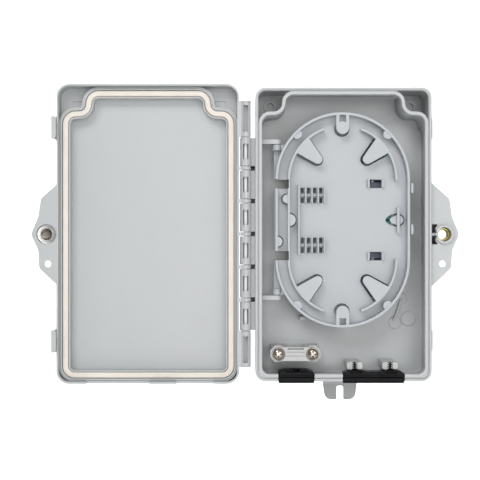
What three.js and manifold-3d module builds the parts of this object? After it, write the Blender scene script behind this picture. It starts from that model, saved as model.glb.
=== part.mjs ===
// Wall-mounted fibre termination box, standing as installed and opened flat.
// Millimetres. +X right, +Z up, the front faces -Y. The origin is the centre of the base's back face,
// so every depth is a negative y that grows towards the front.
import * as THREE from 'three';
import { mergeVertices } from 'three/addons/utils/BufferGeometryUtils.js';
import Module from 'manifold-3d';

const wasm = await Module();
wasm.setup();

// ---------------------------------------------------------------- driving dimensions

const GAP = 0.3; // clearance between pieces that rest on, plug into or turn in each other
const THROUGH = 1; // how far a cutter runs past the faces that it opens

const base = { width: 121.2, height: 201.8, corner: 7, floor: -2.4, rim: -36, rimWall: 1.7, widened: -30 };
const cover = {
  centreZ: 0.3, width: 125.6, height: 206, corner: 9, skirt: 1.5, back: -20, floor: -22.2, rim: -36,
};
const hinge = {
  x: -67.1, y: -34, radius: 3.6, pinRadius: 1.2, pitch: 22.6, count: 6, length: 19.5, centreZ: 0.25,
  endLength: 24.9,
};
const coverX = 2 * hinge.x; // the open cover is the base's mirror image across the hinge axis

// The seal runs round the cavity and steps inwards at the two top corners, outside which the wall screws sit.
const seal = { x: 57, z: 97, notchX: 41, notchZ: 83, radius: 6.8, lowerRadius: 6 };
const ridge = { half: 1.3, front: -36.6, grooveFloor: -34.8 };
const lips = { inner: 2.3, outer: 3.3, front: -31.6, channelFloor: -26.2, ledge: 4.8, ledgeFront: -30.4 };
const gasket = { half: 2, front: -31.1 };
const pocket = { wall: 2.2, floor: -3, screwX: 49.5, screwZ: 90.5, bossRadius: 4.8, dimpleRadius: 2.6 };

const lock = {
  dx: 69.6, baseFront: -31.6, plate: 3, ringRadius: 6.5, ringFront: -34.4, sleeveEnd: -16.8, bore: 4.8,
  boreEnd: -18, cupRadius: 6.7, cupFloor: -33, web: 2.5, domeRadius: 8.5, domeEnd: -22, headBore: 6.3,
  sealHoleDx: 68.6, sealHoleZ: -20.3, sealHoleRadius: 2.3,
};
const insert = { radius: 4.5, hole: 3.3, front: -27.2, length: 9 };
const bolt = { radius: 3, tip: -40, headRadius: 5.8, headFront: -24.3, headEnd: -18, socket: 3.2 };
const retainer = { radius: 3.95, front: -34.5, thickness: 1.2 };

const tray = {
  z: 10, straight: 27.9, outerRadius: 46.7, innerRadius: 38.1, back: -18.5, floor: -20.1, front: -29,
  outerWall: 2, innerWall: 1.8, innerOpening: 21,
};
// Each half-moon tab: x, z, radius, the side of its wall that it stands on, its root and its hole's root.
const tabs = {
  back: -27, front: -28.4, rimRadius: 3.3, holeGrow: 0.9,
  half: [
    [-38.6, 24.5, 3, -1, -37.5, -38.5],
    [-45, -5, 3.4, 1, -45.5, -44.3],
    [-36.6, tray.z, 4.2, 1, -37, -36],
  ],
};
// The leaf-shaped hole in the tray's floor, the smaller leaf over it, and the rib that carries that one.
const leafHole = [[29.3, 0, 2.2], [33.4, 3.4, 6], [39.4, 5, 1], [42.8, 2.8, 4], [44.3, 0, 3]];
const leafTongue = [[31.9, 0, 2], [34.6, 2.1, 4], [39.4, 4, 1], [41.9, 2.2, 4], [43.2, 0, 2.5]];
const leafRib = { x0: 37.9, x1: 39.9, front: -25.5, leafBack: -21, leafFront: -22.6 };
const fingerSides = [[-1, -1], [-1, 1], [1, -1], [1, 1]];
const fingerHoleGrow = 1.1;
const trayHinge = { x: -45.5, y: -22.5, pinRadius: 1.5, topZ: 64.3, bottomZ: -44, armThickness: 3.4 };
const adapters = { count: 8, pitch: 13.6, x: 22, z: 10, length: 25, front: -15.1, back: -5.8, width: 12.6 };
const panel = { thickness: 2, front: -14.4, back: -2.7, rail: -5.5, waist: 10.8, waistLength: 2.6 };
const footScrew = { boss: -6, plate: 2, radius: 1.25, headRadius: 2.8, headHeight: 1.8, bossRadius: 3.6 };

const clamp = {
  leftX: -44.5, rightX: -20.9, z: -82.4, postTop: -26.5, front: -33.3, earRadius: 6.2, postRadius: 5.2,
  barHalf: 4.9, slotHalf: 5.5, slotFrom: 3.1, slotTo: 4.2,
};
const clampScrew = { radius: 1.9, headRadius: 3.8, headHeight: 2.6, length: 15, insertRadius: 3.1 };
const washer = { radius: 4.3, thickness: 0.8 };
const feeder = { x0: -44.5, x1: -20.1, back: -18.5, boreY: -27, boreRadius: 4.6 };
const drop = { x0: -0.3, x1: 41.7, back: -24, holes: 4, holeRadius: 1.7, holeY: -30 };
const gland = {
  front: -36.1, outerZ: -102.2, barZ: -97.8, ridgeZ: -96.6, wallZ: -96, shoulderZ: -94.6, innerZ: -93.3,
  shoulder: 4.5, grooveFloor: -35.3,
};
const dropClamps = {
  x: [7.9, 32.3], z: -90.4, postTop: -24.5, front: -33.5, width: 11, height: 5.2, foot: 1.6,
};
const hook = { z: 73, height: 15.5, reach: 2.8, front: -41.5, back: -26.5 };

// ---------------------------------------------------------------- solids

const ordered = (from, to) => [Math.min(from, to), Math.max(from, to)];

function toSolid(geometry) {
  const plain = geometry.clone();
  plain.deleteAttribute('normal');
  plain.deleteAttribute('uv');
  const merged = mergeVertices(plain, 1e-4);
  const vertProperties = Float32Array.from(merged.attributes.position.array);
  const triVerts = Uint32Array.from(merged.index.array);
  return new wasm.Manifold(new wasm.Mesh({ numProp: 3, vertProperties, triVerts }));
}

function toGeometry(solid) {
  const { vertProperties, triVerts } = solid.getMesh();
  const geometry = new THREE.BufferGeometry();
  geometry.setAttribute('position', new THREE.BufferAttribute(vertProperties, 3));
  geometry.setIndex(new THREE.BufferAttribute(triVerts, 1));
  geometry.computeVertexNormals();
  return geometry;
}

const join = (solids) => solids.reduce((whole, piece) => whole.add(piece));
const cut = (body, cutters) => cutters.reduce((rest, cutter) => rest.subtract(cutter), body);

// An XZ outline extruded along Y between two depths.
function prism(shape, back, front, curveSegments = 4) {
  const options = { depth: back - front, bevelEnabled: false, curveSegments };
  const geometry = new THREE.ExtrudeGeometry(shape, options);
  geometry.rotateX(Math.PI / 2);
  geometry.translate(0, back, 0);
  return toSolid(geometry);
}

function box(x0, x1, back, front, z0, z1) {
  const geometry = new THREE.BoxGeometry(x1 - x0, back - front, z1 - z0);
  geometry.translate((x0 + x1) / 2, (back + front) / 2, (z0 + z1) / 2);
  return toSolid(geometry);
}

function cylinderY(x, z, radius, back, front, segments = 16) {
  const geometry = new THREE.CylinderGeometry(radius, radius, back - front, segments);
  geometry.translate(x, (back + front) / 2, z);
  return toSolid(geometry);
}

function cylinderZ(x, y, radius, z0, z1, segments = 16) {
  const geometry = new THREE.CylinderGeometry(radius, radius, z1 - z0, segments);
  geometry.rotateX(Math.PI / 2);
  geometry.translate(x, y, (z0 + z1) / 2);
  return toSolid(geometry);
}

// A solid of revolution about an axis along Y. Each profile point is [radius, depth].
function turned(x, z, profile, segments = 16) {
  const points = profile.map(([radius, depth]) => new THREE.Vector2(radius, depth));
  const geometry = new THREE.LatheGeometry(points, segments);
  geometry.translate(x, 0, z);
  return toSolid(geometry);
}

function ring(x, z, hole, radius, back, front) {
  return turned(x, z, [[hole, front], [radius, front], [radius, back], [hole, back], [hole, front]]);
}

// ---------------------------------------------------------------- outlines

// A closed outline, counter-clockwise, with every corner rounded. Each corner is [x, z, radius].
function roundedOutline(corners) {
  const shape = new THREE.Shape();
  corners.forEach(([x, z, radius], i) => {
    const corner = new THREE.Vector2(x, z);
    const before = new THREE.Vector2(...corners.at(i - 1)).sub(corner).normalize();
    const after = new THREE.Vector2(...corners[(i + 1) % corners.length]).sub(corner).normalize();
    const half = Math.acos(before.dot(after)) / 2;
    const centre = before.clone().add(after).normalize().multiplyScalar(radius / Math.sin(half)).add(corner);
    const start = before.clone().multiplyScalar(radius / Math.tan(half)).add(corner).sub(centre).angle();
    const end = after.clone().multiplyScalar(radius / Math.tan(half)).add(corner).sub(centre).angle();
    shape.absarc(centre.x, centre.y, radius, start, end, before.cross(after) > 0);
  });
  shape.closePath();
  return shape;
}

function roundedRectangle(x, z, width, height, radius) {
  const [w, h] = [width / 2, height / 2];
  const corners = [[x - w, z - h], [x + w, z - h], [x + w, z + h], [x - w, z + h]];
  return roundedOutline(corners.map((corner) => [...corner, radius]));
}

// The seal's path round the cavity, moved outwards by offset, about a centre at x.
function sealOutline(offset, x = 0) {
  const side = seal.x + offset;
  const end = seal.z + offset;
  const notchX = seal.notchX + offset;
  const notchZ = seal.notchZ + offset;
  const convex = seal.radius + offset;
  const concave = seal.radius - offset;
  const lower = seal.lowerRadius + offset;
  return roundedOutline([
    [x - side, -end, lower], [x + side, -end, lower],
    [x + side, notchZ, convex], [x + notchX, notchZ, concave], [x + notchX, end, convex],
    [x - notchX, end, convex], [x - notchX, notchZ, concave], [x - side, notchZ, convex],
  ]);
}

function sealRing(inner, outer, back, front, x = 0) {
  return prism(sealOutline(outer, x), back, front).subtract(
    prism(sealOutline(inner, x), back + THROUGH, front - THROUGH),
  );
}

// A racetrack about the tray's centre: two half circles joined by straight sides.
function racetrack(radius) {
  const shape = new THREE.Shape();
  shape.absarc(0, tray.z + tray.straight, radius, 0, Math.PI, false);
  shape.absarc(0, tray.z - tray.straight, radius, Math.PI, 2 * Math.PI, false);
  shape.closePath();
  return shape;
}

function racetrackRing(outer, thickness, back, front) {
  return prism(racetrack(outer), back, front, 14).subtract(
    prism(racetrack(outer - thickness), back + THROUGH, front - THROUGH, 14),
  );
}

// The wavy lug that carries the lock, side = 1 on the base and -1 on the open cover.
function lockLug(x, side) {
  const corners = [
    [60, -37, 2], [74.6, -23.2, 4], [75.2, -11, 7], [80.2, 0, 5], [75.2, 12, 7], [73.4, 24.6, 4],
    [60, 36.5, 2], [56, 30, 1], [56, -30, 1],
  ].map(([dx, z, radius]) => [x + side * dx, z, radius]);
  return roundedOutline(side > 0 ? corners : corners.reverse());
}

// ---------------------------------------------------------------- base shell

const entryWidth = (entry) => [entry.x0 - GAP, entry.x1 + GAP];

function insetBase(inset) {
  const { width, height, corner } = base;
  return roundedRectangle(0, 0, width - 2 * inset, height - 2 * inset, corner - inset);
}

function baseBody() {
  const outer = insetBase(0);
  const rimInner = insetBase(base.rimWall);
  const groove = prism(rimInner, ridge.grooveFloor, base.rim - THROUGH).subtract(
    prism(sealOutline(ridge.half), ridge.grooveFloor + THROUGH, base.rim - 2 * THROUGH),
  );
  const sealRidge = prism(sealOutline(ridge.half), -30, ridge.front);
  const walls = join([prism(outer, 0, base.rim).subtract(groove), sealRidge]);
  const wide = { x: 58.4, z: 98.5, lowerTop: 75, upperX: 39.6, upperBottom: 60 };
  return cut(walls, [
    prism(sealOutline(-ridge.half), base.floor, ridge.front - THROUGH),
    prism(
      roundedRectangle(0, (wide.lowerTop - wide.z) / 2, 2 * wide.x, wide.lowerTop + wide.z, 5),
      base.floor, base.widened,
    ),
    box(-wide.upperX, wide.upperX, base.floor, base.widened, wide.upperBottom, wide.z),
    ...[-1, 1].map(cornerPocket),
  ]);
}

// The open well outside the seal in a top corner, where a wall screw goes once its thin disc is pushed out.
function cornerPocket(side) {
  const corner = box(...ordered(side * 30, side * 62), pocket.floor, base.rim - THROUGH, 78, 102);
  const well = prism(insetBase(pocket.wall), pocket.floor, base.rim - THROUGH).intersect(corner).subtract(
    prism(sealOutline(ridge.half), pocket.floor + THROUGH, base.rim - 2 * THROUGH),
  );
  const x = side * pocket.screwX;
  const boss = cylinderY(x, pocket.screwZ, pocket.bossRadius, pocket.floor + THROUGH, -4.2);
  const dimple = cylinderY(x, pocket.screwZ, pocket.dimpleRadius, -1.2, -5);
  return well.subtract(boss).add(dimple);
}

function wallEar() {
  const plate = roundedOutline([
    [12.6, -92, 1], [-12.6, -92, 1], [-12.3, -104, 6], [-10.6, -117.3, 5], [-2.5, -117.3, 1],
    [-2.5, -107.5, 1.4],
    [2.5, -107.5, 1.4], [2.5, -117.3, 1], [10.6, -117.3, 5], [12.3, -104, 6],
  ]);
  return prism(plate, 0, -3);
}

const knuckleZ = (i) => hinge.centreZ + (i - (hinge.count - 1) / 2) * hinge.pitch;
const gapZ = (i) => knuckleZ(i) + hinge.pitch / 2;

function baseHinge() {
  const beamTop = knuckleZ(hinge.count - 1) + hinge.length / 2;
  const beamBottom = knuckleZ(0) - hinge.length / 2;
  const pieces = [box(-66.4, -60, -12, -29.7, beamBottom, beamTop)];
  const bore = hinge.pinRadius + GAP;
  const cutters = [cylinderZ(hinge.x, hinge.y, bore, beamBottom - THROUGH, beamTop + THROUGH, 16)];
  for (let i = 0; i < hinge.count; i += 1) {
    const [z0, z1] = [knuckleZ(i) - hinge.length / 2, knuckleZ(i) + hinge.length / 2];
    pieces.push(cylinderZ(hinge.x, hinge.y, hinge.radius, z0, z1, 14));
    pieces.push(box(-71, -60, -27, -31.6, z0, z1));
    cutters.push(box(hinge.x - 1.85, hinge.x + 1.85, -33.4, -39, knuckleZ(i) - 5.25, knuckleZ(i) + 5.25));
  }
  for (let i = 0; i < hinge.count - 1; i += 1) {
    cutters.push(box(-63.5, -60.9, -13.4, -31, gapZ(i) - 1.5, gapZ(i) + 1.5));
  }
  return cut(join(pieces), cutters);
}

function lockSocket() {
  const gusset = box(59.5, 66.6, -9.5, lock.baseFront, -8.4, 8.4);
  const sleeve = cylinderY(lock.dx, 0, lock.ringRadius, lock.sleeveEnd, lock.ringFront);
  const plate = prism(lockLug(0, 1), lock.baseFront + lock.plate, lock.baseFront);
  const windows = [-1, 1].map((side) =>
    box(60.9, 65.6, -11, lock.baseFront - THROUGH, ...ordered(side * 0.9, side * 6.9)).subtract(
      cylinderY(lock.dx, 0, lock.ringRadius + 0.6, -9, lock.baseFront - 2 * THROUGH),
    ),
  );
  return cut(join([plate, gusset, sleeve]), [
    ...windows,
    cylinderY(lock.dx, 0, lock.bore, lock.boreEnd, lock.ringFront - THROUGH),
    cylinderY(lock.dx, 0, 3.5, THROUGH, lock.ringFront - THROUGH),
    cylinderY(lock.sealHoleDx, lock.sealHoleZ, lock.sealHoleRadius, 0, lock.ringFront, 14),
  ]);
}

function hookLedges() {
  return [-1, 1].map((side) => box(60, 61.9, -29, -31.5, side * hook.z - 7, side * hook.z + 7));
}

// Arms that carry the tray's pivots, and the posts that steady its free edge.
function trayArms() {
  const t = trayHinge.armThickness / 2;
  const arms = [trayHinge.topZ, trayHinge.bottomZ].map((z) =>
    join([
      box(-59, trayHinge.x, -19.3, -25.7, z - t, z + t),
      cylinderZ(trayHinge.x, trayHinge.y, 3.2, z - t, z + t, 14),
    ]).subtract(cylinderZ(trayHinge.x, trayHinge.y, trayHinge.pinRadius + GAP, z - t - 1, z + t + 1, 16)),
  );
  const posts = [32, 3.4].map((z) => box(47.1, 49.3, -2, -27.5, z - 3.6, z + 3.6));
  return [...arms, ...posts];
}

function clampPosts() {
  const posts = [clamp.leftX, clamp.rightX].map((x) =>
    cut(cylinderY(x, clamp.z, clamp.postRadius, -2, clamp.postTop), [
      cylinderY(x, clamp.z, clampScrew.insertRadius + GAP, -17, clamp.postTop - THROUGH, 14),
      cylinderY(x, clamp.z, 2.3, -12, clamp.postTop - THROUGH, 12),
    ]),
  );
  const middle = (clamp.leftX + clamp.rightX) / 2;
  const cradle = box(clamp.leftX + 6, clamp.rightX - 6, -2, -19.5, clamp.z - 4, clamp.z + 4).subtract(
    cylinderZ(middle, feeder.boreY, 6.5, clamp.z - 6, clamp.z + 6),
  );
  const dropPosts = dropClamps.x.map((x) =>
    box(x - 5, x + 5, -2, dropClamps.postTop, dropClamps.z - 2.2, dropClamps.z + 2.2),
  );
  return [...posts, cradle, ...dropPosts];
}

function panelBosses() {
  return panelScrewZ.map((z) =>
    cylinderY(adapters.x, z, footScrew.bossRadius, -2, footScrew.boss).subtract(
      cylinderY(adapters.x, z, footScrew.radius + GAP, -1, footScrew.boss - THROUGH, 12),
    ),
  );
}

// The hook post for a cable tie and the raised curved stop on the floor.
function floorFittings() {
  const tiePost = join([box(-29, -26, -2, -14, -60.5, -57.5), box(-29, -24.5, -11.5, -14, -60.5, -57.5)]);
  const bow = roundedOutline([[37, -61.6, 0.4], [38.6, -61, 0.4], [43.9, -46, 0.4], [42.4, -45.4, 0.4]]);
  const stop = prism(bow, -2, -5, 3);
  return [tiePost, stop];
}

const panelScrewZ = [adapters.z + 61.5, adapters.z - 61.5];

function makeBaseShell() {
  const shell = join([
    baseBody(), wallEar(), baseHinge(), lockSocket(), ...hookLedges(), ...trayArms(), ...clampPosts(),
    ...panelBosses(), ...floorFittings(),
  ]);
  return cut(shell, [
    box(...entryWidth(feeder), feeder.back + GAP, -45, -104, -94),
    box(...entryWidth(drop), drop.back + GAP, -45, -104, -94),
  ]);
}

// ---------------------------------------------------------------- cover

function coverHinge() {
  const spans = Array.from({ length: hinge.count - 1 }, (_, i) => [gapZ(i) - 1.25, gapZ(i) + 1.25]);
  const last = knuckleZ(hinge.count - 1) + hinge.length / 2 + GAP;
  const first = knuckleZ(0) - hinge.length / 2 - GAP;
  const ends = [[last, last + hinge.endLength], [first - hinge.endLength, first]];
  const knuckles = [...spans, ...ends].map(([z0, z1]) =>
    join([
      cylinderZ(hinge.x, hinge.y, hinge.radius, z0, z1, 14),
      box(-73, hinge.x, -32.4, cover.rim, z0, z1),
    ]),
  );
  const slots = ends.map(([z0, z1]) =>
    box(hinge.x - 1.65, hinge.x + 1.65, -32, -39, (z0 + z1) / 2 - 9.25, (z0 + z1) / 2 + 9.25),
  );
  return cut(join(knuckles), [
    ...slots,
    cylinderZ(hinge.x, hinge.y, hinge.pinRadius + GAP, first - 5, last + 5, 12),
  ]);
}

function coverLock() {
  const x = coverX - lock.dx;
  const webEnd = lock.cupFloor + lock.web;
  const wall = coverX - cover.width / 2 + cover.skirt;
  const lug = prism(lockLug(coverX, -1), cover.rim + lock.plate, cover.rim);
  return cut(
    join([lug, cylinderY(x, 0, lock.domeRadius, lock.domeEnd, cover.rim)]),
    [
      box(wall, wall + 10, cover.rim + lock.plate + THROUGH, cover.rim - THROUGH, -40, 40),
      cylinderY(x, 0, lock.cupRadius, lock.cupFloor, cover.rim - THROUGH),
      cylinderY(x, 0, bolt.radius + 0.4, lock.domeEnd + THROUGH, cover.rim - THROUGH),
      cylinderY(x, 0, lock.headBore, lock.domeEnd + THROUGH, webEnd),
      cylinderY(coverX - lock.sealHoleDx, lock.sealHoleZ, lock.sealHoleRadius, -30, cover.rim - THROUGH, 14),
    ],
  );
}

// Two tongues on the free edge, each with a nose that catches a ledge on the base.
function coverHooks() {
  const edge = coverX - cover.width / 2;
  return [-1, 1].map((side) => {
    const [z0, z1] = [side * hook.z - hook.height / 2, side * hook.z + hook.height / 2];
    return join([
      box(edge - hook.reach, edge + 0.5, hook.back, cover.rim + 3, z0, z1),
      box(edge - hook.reach, edge - 0.3, cover.rim + 3.5, hook.front, z0, z1),
      box(edge - hook.reach, edge + 0.6, -39.5, hook.front, z0 + 1, z1 - 1),
    ]);
  });
}

function makeCoverShell() {
  const inset = cover.skirt;
  const outer = roundedRectangle(coverX, cover.centreZ, cover.width, cover.height, cover.corner);
  const inner = roundedRectangle(
    coverX, cover.centreZ, cover.width - 2 * inset, cover.height - 2 * inset, cover.corner - inset,
  );
  const pan = prism(outer, cover.back, cover.rim).subtract(prism(inner, cover.floor, cover.rim - THROUGH));
  const track = sealRing(-lips.outer, lips.outer, cover.floor + THROUGH, lips.front, coverX).subtract(
    sealRing(-lips.inner, lips.inner, lips.channelFloor, lips.front - THROUGH, coverX),
  );
  const ledge = sealRing(lips.outer - 0.2, lips.ledge, cover.floor + THROUGH, lips.ledgeFront, coverX);
  const notches = [feeder, drop].map((entry) =>
    box(coverX - entry.x1 - 0.6, coverX - entry.x0 + 0.6, -31.4, cover.rim - THROUGH, -104, -100.8),
  );
  const recesses = [-1, 1].map((side) =>
    box(
      coverX + side * 49.5 - 3.8, coverX + side * 49.5 + 3.8, cover.floor + 0.8, cover.floor - THROUGH,
      87.6, 92.6,
    ),
  );
  const shell = join([pan, track, ledge, coverHinge(), coverLock(), ...coverHooks()]);
  return cut(shell, [...notches, ...recesses]);
}

function makeGasket() {
  return sealRing(-gasket.half, gasket.half, lips.channelFloor - GAP, gasket.front, coverX);
}

function makeHingePin() {
  const end = knuckleZ(hinge.count - 1) + hinge.length / 2 + 4.5;
  return cylinderZ(hinge.x, hinge.y, hinge.pinRadius, 2 * hinge.centreZ - end, end, 12);
}

// ---------------------------------------------------------------- lock

function makeLockInsert() {
  return ring(lock.dx, 0, insert.hole, insert.radius, insert.front + insert.length, insert.front);
}

function makeLockBolt() {
  const profile = [
    [0, bolt.tip], [1.8, bolt.tip], [bolt.radius, bolt.tip + 0.9], [bolt.radius, bolt.headFront],
    [bolt.headRadius, bolt.headFront], [bolt.headRadius, bolt.headEnd - 0.8],
    [bolt.headRadius - 0.8, bolt.headEnd], [0, bolt.headEnd],
  ];
  const x = coverX - lock.dx;
  const socket = cylinderY(x, 0, bolt.socket, bolt.headEnd + THROUGH, bolt.headEnd - 3.6, 3);
  return turned(x, 0, profile).subtract(socket);
}

function makeBoltRetainer() {
  const { radius, front, thickness } = retainer;
  return ring(coverX - lock.dx, 0, bolt.radius + GAP, radius, front + thickness, front);
}

// ---------------------------------------------------------------- splice tray

// A flat retaining finger that reaches from the inner wall over the tray's floor, or the larger hole
// beneath it. Its two edges run from the wall towards one point, and its tip is rounded short of that.
function finger(sideX, sideZ, back, front, grow) {
  const arcCentre = new THREE.Vector2(0, tray.z + sideZ * tray.straight);
  const reach = tray.innerRadius - tray.innerWall / 2;
  const at = (degrees) => {
    const angle = THREE.MathUtils.degToRad(degrees);
    const spoke = new THREE.Vector2(sideX * reach * Math.cos(angle), sideZ * reach * Math.sin(angle));
    return spoke.add(arcCentre);
  };
  const rootA = at(30 - grow * 1.4);
  const rootB = at(51 + grow * 1.4);
  const meet = new THREE.Vector2(sideX * (6.4 - grow * 3.1), tray.z + sideZ * (32.3 - grow * 2.8));
  const corners = [[rootA.x, rootA.y, 0.2], [rootB.x, rootB.y, 0.2], [meet.x, meet.y, 3.3 + grow]];
  return prism(roundedOutline(sideX * sideZ > 0 ? corners : corners.reverse()), back, front);
}

function splitWalls() {
  const [t, w] = [tray.outerRadius, tray.outerWall];
  const gaps = [35, -14.8].map((z) => box(-t - 1, -t + 9.4, -16, tray.front - THROUGH, z - 3.15, z + 3.15));
  const outer = cut(racetrackRing(t, w, tray.back, tray.front), gaps);
  const opening = tray.innerRadius * Math.sin(THREE.MathUtils.degToRad(tray.innerOpening));
  const inner = cut(racetrackRing(tray.innerRadius, tray.innerWall, tray.floor, tray.front), [
    box(-opening, opening, tray.back, tray.front - THROUGH, tray.z - 80, tray.z + 80),
    box(20, 60, tray.back, tray.front - THROUGH, tray.z - tray.straight, tray.z + tray.straight),
  ]);
  return { outer, inner, gaps };
}

// Two blocks of fingers that hold splice sleeves, joined by one rib.
function spliceCombs() {
  const [x0, pitch, columns] = [-29.7, 4.3, 4];
  const pieces = [box(x0 - 1.2, x0 + 0.2, tray.floor + 0.5, -27, -14.3, 34.3)];
  const slots = [];
  [27.2, -7.6].forEach((z) => {
    for (let i = 0; i <= columns; i += 1) {
      const x = x0 + i * pitch;
      pieces.push(box(x - 0.55, x + 0.55, tray.floor + 0.5, -26, z - 5.6, z + 5.6));
      if (i < columns) {
        slots.push(box(x + 1.1, x + 3.2, -16, -21, z + 1.5, z + 5.3));
        slots.push(box(x + 1.1, x + 3.2, -16, -21, z - 5.3, z - 1.5));
        pieces.push(box(x - 0.2, x + pitch + 0.2, tray.floor + 0.5, -22.4, z - 0.7, z + 0.7));
      }
    }
  });
  return { pieces, slots };
}

function endBridges() {
  return [-1, 1].map((side) => {
    const wallZ = tray.z + side * (tray.straight + tray.outerRadius - 1);
    const span = (from, to) => ordered(wallZ - side * from, wallZ - side * to);
    const half = cylinderY(0, wallZ - side * 9.8, 4.5, -27.4, tray.front);
    return join([
      box(-4.6, -2.2, -27.4, tray.front, ...span(0, 8)),
      box(2.2, 4.6, -27.4, tray.front, ...span(0, 8)),
      box(-4.5, 4.5, -27.4, tray.front, ...span(6.6, 9.8)),
      half,
    ]);
  });
}

// Thin half-moon tabs that keep the fibre down: four across the rim, and three beside the left walls.
function edgeTabs() {
  const { back, front, half } = tabs;
  const round = [45, 135, 225, 315].map((degrees) => {
    const angle = THREE.MathUtils.degToRad(degrees);
    const reach = tray.outerRadius - 2.4;
    const centreZ = tray.z + Math.sign(Math.sin(angle)) * tray.straight;
    const [x, z] = [reach * Math.cos(angle), centreZ + reach * Math.sin(angle)];
    return cylinderY(x, z, tabs.rimRadius, back, front, 12);
  });
  const inside = prism(racetrack(tray.outerRadius - 1), tray.back, tray.front - THROUGH, 14);
  const beside = half.map(([x, z, radius, side, wallX]) => halfDisc(x, z, radius, side, wallX, back, front));
  return [...round.map((tab) => tab.intersect(inside)), ...beside];
}

// The part of a disc that lies on one side of a wall.
function halfDisc(x, z, radius, side, wallX, back, front) {
  const [x0, x1] = side > 0 ? [wallX, wallX + 2 * radius] : [wallX - 2 * radius, wallX];
  const kept = box(x0, x1, back + THROUGH, front - THROUGH, z - radius - 1, z + radius + 1);
  return cylinderY(x, z, radius, back, front, 16).intersect(kept);
}

// A leaf with its point to the left, from its upper edge as x, rise and corner radius, left to right.
function leafOutline(upper) {
  const lower = upper.slice(1, -1).map(([x, rise, radius]) => [x, -rise, radius]);
  const around = [...lower, ...upper.toReversed()];
  return roundedOutline(around.map(([x, rise, radius]) => [x, tray.z + rise, radius]));
}

function trayFloorHoles() {
  const windows = [35.3, -15.2].map((z) => box(19.6, 27.5, -16, -21, z - 2.95, z + 2.95));
  const fingers = fingerSides.map(([x, z]) => finger(x, z, -16, -21, fingerHoleGrow));
  const leaf = prism(leafOutline(leafHole), -16, -21);
  const ends = [-1, 1].map((side) => cylinderY(0, tray.z + side * (tray.straight + 35.6), 5.3, -16, -21));
  const moons = tabs.half.map(([x, z, radius, side, , holeX]) =>
    halfDisc(x, z, radius + tabs.holeGrow, side, holeX, -16, -21),
  );
  return [...windows, ...fingers, leaf, ...ends, ...moons];
}

function trayRibs() {
  const windowRibs = [35.3, -15.2].flatMap((z) =>
    [18.5, 28.4].map((x) => box(x - 0.8, x + 0.8, tray.floor + 0.5, -23.5, z - 2.9, z + 2.9)),
  );
  const bridge = box(leafRib.x0, leafRib.x1, tray.floor + 0.5, leafRib.front, tray.z - 9, tray.z + 9);
  return [...windowRibs, bridge, prism(leafOutline(leafTongue), leafRib.leafBack, leafRib.leafFront)];
}

// The strip along the tray's left edge, with a lug and a pivot stub at each end.
function trayPivots() {
  const t = trayHinge.armThickness / 2 + GAP;
  const strip = box(-47.3, -37.5, tray.back, tray.floor, trayHinge.bottomZ + t, trayHinge.topZ - t);
  const lugs = [[trayHinge.topZ - t, -1], [trayHinge.bottomZ + t, 1]].map(([z, inward]) => {
    const [z0, z1] = ordered(z, z + inward * 4);
    const [p0, p1] = ordered(z + inward, z - inward * (2 * t - 0.4));
    return join([
      cylinderZ(trayHinge.x, trayHinge.y, 3, z0, z1, 14),
      box(-47.3, -40, tray.back, trayHinge.y, z0, z1),
      cylinderZ(trayHinge.x, trayHinge.y, trayHinge.pinRadius, p0, p1, 12),
    ]);
  });
  return [strip, ...lugs];
}

function makeSpliceTray() {
  const { outer, inner, gaps } = splitWalls();
  const combs = spliceCombs();
  const [strip, ...lugs] = trayPivots();
  const floor = join([prism(racetrack(tray.outerRadius - 0.5), tray.back, tray.floor, 14), strip]);
  const fingers = fingerSides.map(([x, z]) => finger(x, z, -27.4, tray.front, 0));
  return join([
    cut(floor, [...trayFloorHoles(), ...combs.slots, ...gaps]),
    outer, inner, ...fingers, ...combs.pieces, ...endBridges(), ...edgeTabs(), ...trayRibs(),
    ...lugs,
  ]);
}

// ---------------------------------------------------------------- adapters

const adapterZ = (i) => adapters.z + (i - (adapters.count - 1) / 2) * adapters.pitch;

function makeAdapterPanel() {
  const half = panel.thickness / 2;
  const [x0, x1] = [adapters.x - half, adapters.x + half];
  const post = (adapters.pitch - panel.waist) / 2 - GAP;
  const end = adapters.z + (adapters.count * adapters.pitch) / 2 + post + 0.2;
  const pieces = [box(x0, x1, panel.back, panel.rail, 2 * adapters.z - end, end)];
  for (let i = 0; i <= adapters.count; i += 1) {
    const z = adapterZ(i) - adapters.pitch / 2;
    pieces.push(box(x0, x1, panel.back, panel.front, z - post, z + post));
  }
  const plateFront = footScrew.boss - GAP - footScrew.plate;
  panelScrewZ.forEach((z, i) => {
    const [z0, z1] = i === 0 ? [end - 1, z + 4] : [z - 4, 2 * adapters.z - end + 1];
    pieces.push(box(adapters.x - 4.5, adapters.x + 4.5, footScrew.boss - GAP, plateFront, z0, z1));
  });
  const holes = panelScrewZ.map((z) => cylinderY(adapters.x, z, footScrew.radius + GAP, 0, -12, 16));
  const bossRoom = panelScrewZ.map((z) =>
    cylinderY(adapters.x, z, footScrew.bossRadius + GAP, 0, footScrew.boss - GAP),
  );
  return cut(join(pieces), [...holes, ...bossRoom]);
}

function makeFootScrew(z) {
  const top = footScrew.boss - GAP - footScrew.plate - GAP;
  const end = base.floor - 0.5;
  const screw = turned(adapters.x, z, [
    [0, top - footScrew.headHeight], [1.6, top - footScrew.headHeight], [footScrew.headRadius, top - 0.6],
    [footScrew.headRadius, top], [footScrew.radius, top], [footScrew.radius, end], [0, end],
  ], 12);
  return screw.subtract(crossRecess(adapters.x, z, 1.5, top - footScrew.headHeight));
}

function crossRecess(x, z, reach, front) {
  const [width, depth] = [0.35, 1];
  return join([
    box(x - reach, x + reach, front + depth, front - THROUGH, z - width, z + width),
    box(x - width, x + width, front + depth, front - THROUGH, z - reach, z + reach),
  ]);
}

const port = { width: 9.6, height: 6.6, depth: 8 };

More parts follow.
